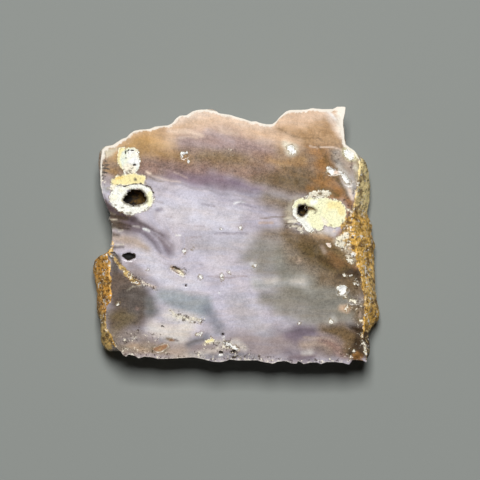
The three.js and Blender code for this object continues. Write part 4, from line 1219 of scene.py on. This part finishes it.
def corner_map(mesh, points, parts):
    """The map at every face corner: the face, the back and two strips of wall."""
    loops = np.empty(len(mesh.loops), np.int64)
    mesh.loops.foreach_get("vertex_index", loops)
    corners = points[loops]
    result = flat_map(corners[:, :2], *FACE_MAP)
    on_back = corners[:, 2] < LEVEL
    result[on_back] = flat_map(corners[on_back][:, 1::-1], *BACK_MAP)

    walls = points[: parts["first_face"]].reshape(parts["rows"], COLUMNS, 3)
    middle = walls[parts["rows"] // 2]
    steps = np.linalg.norm(np.roll(middle, -1, axis=0) - middle, axis=1)
    along = WALL_MAP_SCALE * np.concatenate([[0], np.cumsum(steps)])
    drops = np.linalg.norm(np.diff(walls, axis=0), axis=2).mean(axis=1)
    down = WALL_MAP_SCALE * np.concatenate([[0], np.cumsum(drops)])
    half = COLUMNS // 2
    for face in range((parts["rows"] - 1) * COLUMNS):
        row, column = divmod(face, COLUMNS)
        strip = column // half
        start = STRIP_START - along[strip * half]
        left, right = start + along[column], start + along[column + 1]
        top, bottom = STRIP_TOPS[strip] + down[row], STRIP_TOPS[strip] + down[row + 1]
        result[face * 4 : face * 4 + 4] = ((left, top), (left, bottom), (right, bottom), (right, top))
    return result


def mark_sharp(mesh, parts):
    """Marks the polished edge and the edge of the back as sharp."""
    sharp = mesh.attributes.new("sharp_edge", "BOOLEAN", "EDGE")
    ends = np.empty(len(mesh.edges) * 2, np.int64)
    mesh.edges.foreach_get("vertices", ends)
    ends = ends.reshape(-1, 2)
    base_row = (parts["rows"] - 1) * COLUMNS
    on_rim = (ends < COLUMNS).all(axis=1)
    on_base = ((ends >= base_row) & (ends < parts["first_face"])).all(axis=1)
    sharp.data.foreach_set("value", on_rim | on_base)


def make_slab(node):
    """The slab's mesh with its colours as attributes."""
    tree = BVHTree.FromPolygons(
        [v.co for v in node.data.vertices], [p.vertices for p in node.data.polygons]
    )
    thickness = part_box(NODE)[1].z / MM
    points, faces, parts = build_points(tree, thickness)
    mesh = bpy.data.meshes.new("slab")
    mesh.from_pydata((points * MM).tolist(), [], faces)
    mesh.polygons.foreach_set("use_smooth", [True] * len(mesh.polygons))
    for name, values in surface_values(points, parts, thickness).items():
        add_attribute(mesh, name, values)
    bake_map = mesh.uv_layers.new(name="OFBake")
    bake_map.uv.foreach_set("vector", corner_map(mesh, points, parts).astype(np.float32).ravel())
    mark_sharp(mesh, parts)
    mesh.update()
    slab = bpy.data.objects.new("slab", mesh)
    bpy.context.scene.collection.objects.link(slab)
    return slab


class Graph:
    """Short calls for building a material's nodes."""

    def __init__(self, name):
        self.material = bpy.data.materials.new(name)
        self.material.use_nodes = True
        self.tree = self.material.node_tree
        self.shader = self.tree.nodes["Principled BSDF"]

    def put(self, value, socket):
        if isinstance(value, bpy.types.NodeSocket):
            self.tree.links.new(value, socket)
        else:
            socket.default_value = value

    def node(self, kind, settings=(), inputs=()):
        node = self.tree.nodes.new(kind)
        for key, value in dict(settings).items():
            setattr(node, key, value)
        for key, value in dict(inputs).items():
            self.put(value, node.inputs[key])
        return node

    def attribute(self, name, output="Fac"):
        return self.node("ShaderNodeAttribute", {"attribute_name": name}).outputs[output]

    def math(self, operation, a, b):
        return self.node("ShaderNodeMath", {"operation": operation}, {0: a, 1: b}).outputs[0]

    def stretch(self, vector, scale):
        settings = {"operation": "MULTIPLY"}
        return self.node("ShaderNodeVectorMath", settings, {0: vector, 1: scale}).outputs[0]

    def noise(self, kind, vector):
        scale, detail, roughness = NOISES[kind]
        inputs = {"Vector": vector, "Scale": scale, "Detail": detail, "Roughness": roughness}
        return self.node("ShaderNodeTexNoise", (), inputs).outputs["Fac"]

    def step(self, value, low, high, out_low=0.0, out_high=1.0):
        """A smooth step from one number to another as a value goes from low to high."""
        inputs = {"Value": value, 1: low, 2: high, 3: out_low, 4: out_high}
        settings = {"interpolation_type": "SMOOTHSTEP"}
        return self.node("ShaderNodeMapRange", settings, inputs).outputs[0]

    def mix(self, share, a, b, blend="MIX"):
        settings = {"data_type": "RGBA", "blend_type": blend}
        node = self.node("ShaderNodeMix", settings)
        self.put(share, node.inputs[0])
        self.put(a, node.inputs[6])
        self.put(b, node.inputs[7])
        return node.outputs[2]

    def blend(self, share, a, b):
        """Between two numbers."""
        return self.node("ShaderNodeMix", (), {0: share, 2: a, 3: b}).outputs[0]

    def shade(self, colour, amount):
        """A colour made darker or paler by a number around 1."""
        grey = self.node("ShaderNodeCombineColor", (), {0: amount, 1: amount, 2: amount})
        return self.mix(1.0, colour, grey.outputs[0], "MULTIPLY")

    def swing(self, value, amount):
        """A noise of 0 to 1 turned into a push either way."""
        return self.math("MULTIPLY", self.math("SUBTRACT", value, 0.5), amount)

    def swings(self, noises, amounts):
        return [self.swing(noises[kind], amount) for kind, amount in amounts.items()]

    def sum(self, *values):
        total = values[0]
        for value in values[1:]:
            total = self.math("ADD", total, value)
        return total

    def bump(self, height, strength, distance, normal=None):
        inputs = {"Height": height, "Strength": strength, "Distance": distance * MM}
        if normal:
            inputs["Normal"] = normal
        return self.node("ShaderNodeBump", (), inputs).outputs[0]


def rgba(name):
    return (*to_linear(PALETTE[name]), 1)


def chalcedony_material():
    g = Graph("chalcedony")
    place = g.node("ShaderNodeTexCoord").outputs["Object"]
    mm = g.stretch(place, (1 / MM,) * 3)
    axes = g.node("ShaderNodeSeparateXYZ", (), {0: mm}).outputs
    along = g.math("MULTIPLY", axes[0], LAYER_STRETCH[0])
    down = g.math("MULTIPLY", axes[2], LAYER_STRETCH[1])
    layered = g.node("ShaderNodeCombineXYZ", (), {0: along, 1: g.attribute("layer"), 2: down}).outputs[0]
    mirrored = g.stretch(mm, (-1, 1, 1))
    leaning = g.stretch(mm, (1, 1, 0.4))

    patch = g.attribute("patch")
    dark = g.attribute("dark")
    fleck = g.attribute("fleck")
    rough = g.attribute("rough")
    tint = g.attribute("tint", "Color")

    # The stone: bands along its layers, soft clouds, warm and cool drifts and a frosty speckle
    clouds = g.noise("clouds", mm)
    mottle = g.noise("mottle", mm)
    speckle = g.noise("speckle", mm)
    frost = g.noise("frost", mm)
    grit = g.noise("grit", leaning)
    lumps = g.noise("lumps", leaning)
    fray = g.noise("fray", mm)
    noises = {
        "bands": g.noise("bands", layered),
        "streaks": g.noise("streaks", g.stretch(layered, (2, 1, -1))),
        "clouds": clouds,
        "mottle": mottle,
        "speckle": speckle,
        "grit": grit,
        "lumps": lumps,
        "fray": fray,
    }
    stone = g.attribute("stone", "Color")
    channels = g.node("ShaderNodeSeparateColor", (), {0: stone}).outputs
    warmth = g.step(g.math("DIVIDE", channels[2], channels[0]), 0.9, 0.5)
    brownness = g.math("MULTIPLY", warmth, g.step(channels[0], 0.6, 0.25))
    coarseness = g.sum(GREY_GRAIN, g.math("MULTIPLY", brownness, BROWN_GRAIN))
    grain = g.math("MULTIPLY", g.sum(*g.swings(noises, GRAIN_SWINGS)), coarseness)
    colour = g.shade(stone, g.sum(STONE_LIGHT, *g.swings(noises, STONE_SWINGS), grain))
    drift = g.step(g.noise("drift", g.stretch(layered, (1, 1, -1))), 0.35, 0.65)
    colour = g.mix(1.0, colour, g.mix(drift, COOL_DRIFT, WARM_DRIFT), "MULTIPLY")

    # Broken walls are frosted and paler than the polished face
    frosted = g.mix(g.step(frost, 0.4, 0.65, 0.05, 0.6), colour, rgba("cream_white"))
    colour = g.mix(g.step(rough, 0.3, 0.9), colour, frosted)

    # Rind: gold and ochre lumps with brown hollows, black pits and pale crumbs
    ochre = g.shade(tint, g.sum(1.0, *g.swings(noises, RIND_SWINGS)))
    ochre = g.mix(g.step(lumps, 0.5, 0.38, 0.0, 0.7), ochre, rgba("rind_brown"))
    ochre = g.mix(g.step(grit, 0.48, 0.38, 0.0, 0.8), ochre, rgba("rind_brown"))
    ochre = g.mix(g.step(grit, 0.54, 0.62, 0.0, 0.85), ochre, rgba("pale_ochre"))
    pits = g.noise("pits", g.stretch(leaning, (-1, 1, 1)))
    ochre = g.mix(g.step(pits, 0.6, 0.67, 0.0, 0.85), ochre, rgba("umber"))
    crumbs = g.sum(g.noise("crumbs", g.stretch(leaning, (1, -1, 1))), g.swing(clouds, 0.6))
    ochre = g.mix(g.step(crumbs, 0.6, 0.65), ochre, rgba("edge_cream"))
    wander = g.swing(g.noise("wander", mm), 2.0)
    colour = g.mix(g.step(g.sum(g.attribute("rind"), wander), 0.42, 0.58), colour, ochre)

    # Chalky crusts, patches and specks with ragged, brown-lined borders
    ragged = g.sum(g.swing(g.noise("ragged", mm), 2.0), g.swing(fray, 1.0))
    inward = g.sum(patch, ragged)
    lining = g.math("MULTIPLY", g.step(inward, -0.6, -0.05), g.step(mottle, 0.4, 0.6, 0.2, 0.85))
    colour = g.mix(lining, colour, rgba("crust_line"))
    cover = g.step(inward, -0.08, 0.12)
    chalk = g.shade(tint, g.sum(CHALK_LIGHT, *g.swings(noises, CHALK_SWINGS)))
    chalk = g.mix(g.step(clouds, 0.52, 0.66, 0.0, 0.25), chalk, rgba("pale_yellow"))
    marks = g.sum(g.noise("marks", mirrored), g.step(patch, 1.0, 0.0, 0.0, 0.07))
    chalk = g.mix(g.step(marks, 0.63, 0.71, 0.0, 0.8), chalk, rgba("crust_line"))
    colour = g.mix(cover, colour, chalk)

    # Pale and dark flecks, and the bright broken edge with its painted rim light
    some = g.step(fleck, 0.02, 0.25)
    push = g.math("MULTIPLY", fleck, 0.12)
    dark_flecks = g.step(g.sum(g.noise("dark flecks", mirrored), push), 0.6, 0.69, 0.0, 0.85)
    colour = g.mix(g.math("MULTIPLY", dark_flecks, some), colour, rgba("dark_brown"))
    pale_flecks = g.step(g.sum(g.noise("pale flecks", mm), push), 0.63, 0.71)
    colour = g.mix(g.math("MULTIPLY", pale_flecks, some), colour, rgba("cream"))
    # pale broken stone and painted rim light along the edge
    border = g.sum(g.attribute("edge"), g.swing(frost, 1.6), g.swing(grit, 1.2))
    colour = g.mix(g.step(border, -0.25, 0.3, 0.0, 0.9), colour, rgba("edge_cream"))

    # Cracks and pits: dark lines and painted shade, umber at their borders and black deep inside
    pit = g.step(g.sum(dark, g.math("MULTIPLY", ragged, 0.5)), -0.08, 0.1)
    colour = g.mix(pit, colour, g.mix(g.step(dark, 0.1, 0.35), rgba("umber"), rgba("black")))
    g.put(colour, g.shader.inputs["Base Color"])

    gloss = g.step(clouds, 0.35, 0.65, *POLISH)
    dull = g.blend(g.math("MAXIMUM", cover, pit), gloss, CHALK_ROUGHNESS)
    dull = g.blend(g.step(rough, 0.0, 0.3), dull, BROKEN_ROUGHNESS)
    g.put(dull, g.shader.inputs["Roughness"])
    g.shader.inputs["IOR"].default_value = STONE_IOR

    coarse = g.bump(g.sum(frost, grit), g.step(rough, 0.2, 0.9, 0.0, 0.8), BROKEN_BUMP)
    relief = g.bump(speckle, g.step(cover, 0.0, 1.0, 0.03, 0.35), POLISHED_BUMP, coarse)
    g.put(relief, g.shader.inputs["Normal"])
    return g.material


def floor_material():
    g = Graph("floor")
    g.shader.inputs["Base Color"].default_value = (*to_linear(FLOOR_COLOUR), 1)
    g.shader.inputs["Roughness"].default_value = FLOOR_ROUGHNESS
    g.shader.inputs["Specular IOR Level"].default_value = FLOOR_SHEEN
    return g.material


def add_light(name, place, width, height, watts):
    data = bpy.data.lights.new(name, "AREA")
    data.shape = "RECTANGLE"
    data.size = width
    data.size_y = height
    data.energy = watts
    light = bpy.data.objects.new(name, data)
    light.location = place
    light.rotation_euler = (-Vector(place)).to_track_quat("-Z", "Y").to_euler()
    bpy.context.scene.collection.objects.link(light)


def add_camera(thickness):
    data = bpy.data.cameras.new("camera")
    data.sensor_fit = "HORIZONTAL"
    data.angle = 2 * math.atan(VIEW_WIDTH / 2 / CAMERA_HEIGHT)
    data.clip_end = CAMERA_RANGE
    camera = bpy.data.objects.new("camera", data)
    camera.location = (VIEW_CENTRE[0] * MM, VIEW_CENTRE[1] * MM, thickness + CAMERA_HEIGHT * MM)
    bpy.context.scene.collection.objects.link(camera)
    bpy.context.scene.camera = camera


def add_floor():
    bpy.ops.mesh.primitive_plane_add(size=FLOOR_SIZE, location=(0, 0, 0))
    floor = bpy.context.object
    floor.name = "floor"
    floor.data.materials.append(floor_material())


def main():
    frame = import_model()
    slab = make_slab(frame["nodes"][NODE])
    slab.data.materials.append(chalcedony_material())
    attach(slab, "root")
    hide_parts(NODE)

    add_floor()
    add_camera(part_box(NODE)[1].z)
    for light in LIGHTS:
        add_light(*light)
    world = bpy.data.worlds.new("studio")
    world.use_nodes = True
    background = world.node_tree.nodes["Background"]
    background.inputs["Color"].default_value = (1, 1, 1, 1)
    background.inputs["Strength"].default_value = WORLD_STRENGTH
    bpy.context.scene.world = world
    bpy.context.scene.view_settings.view_transform = "Standard"


main()
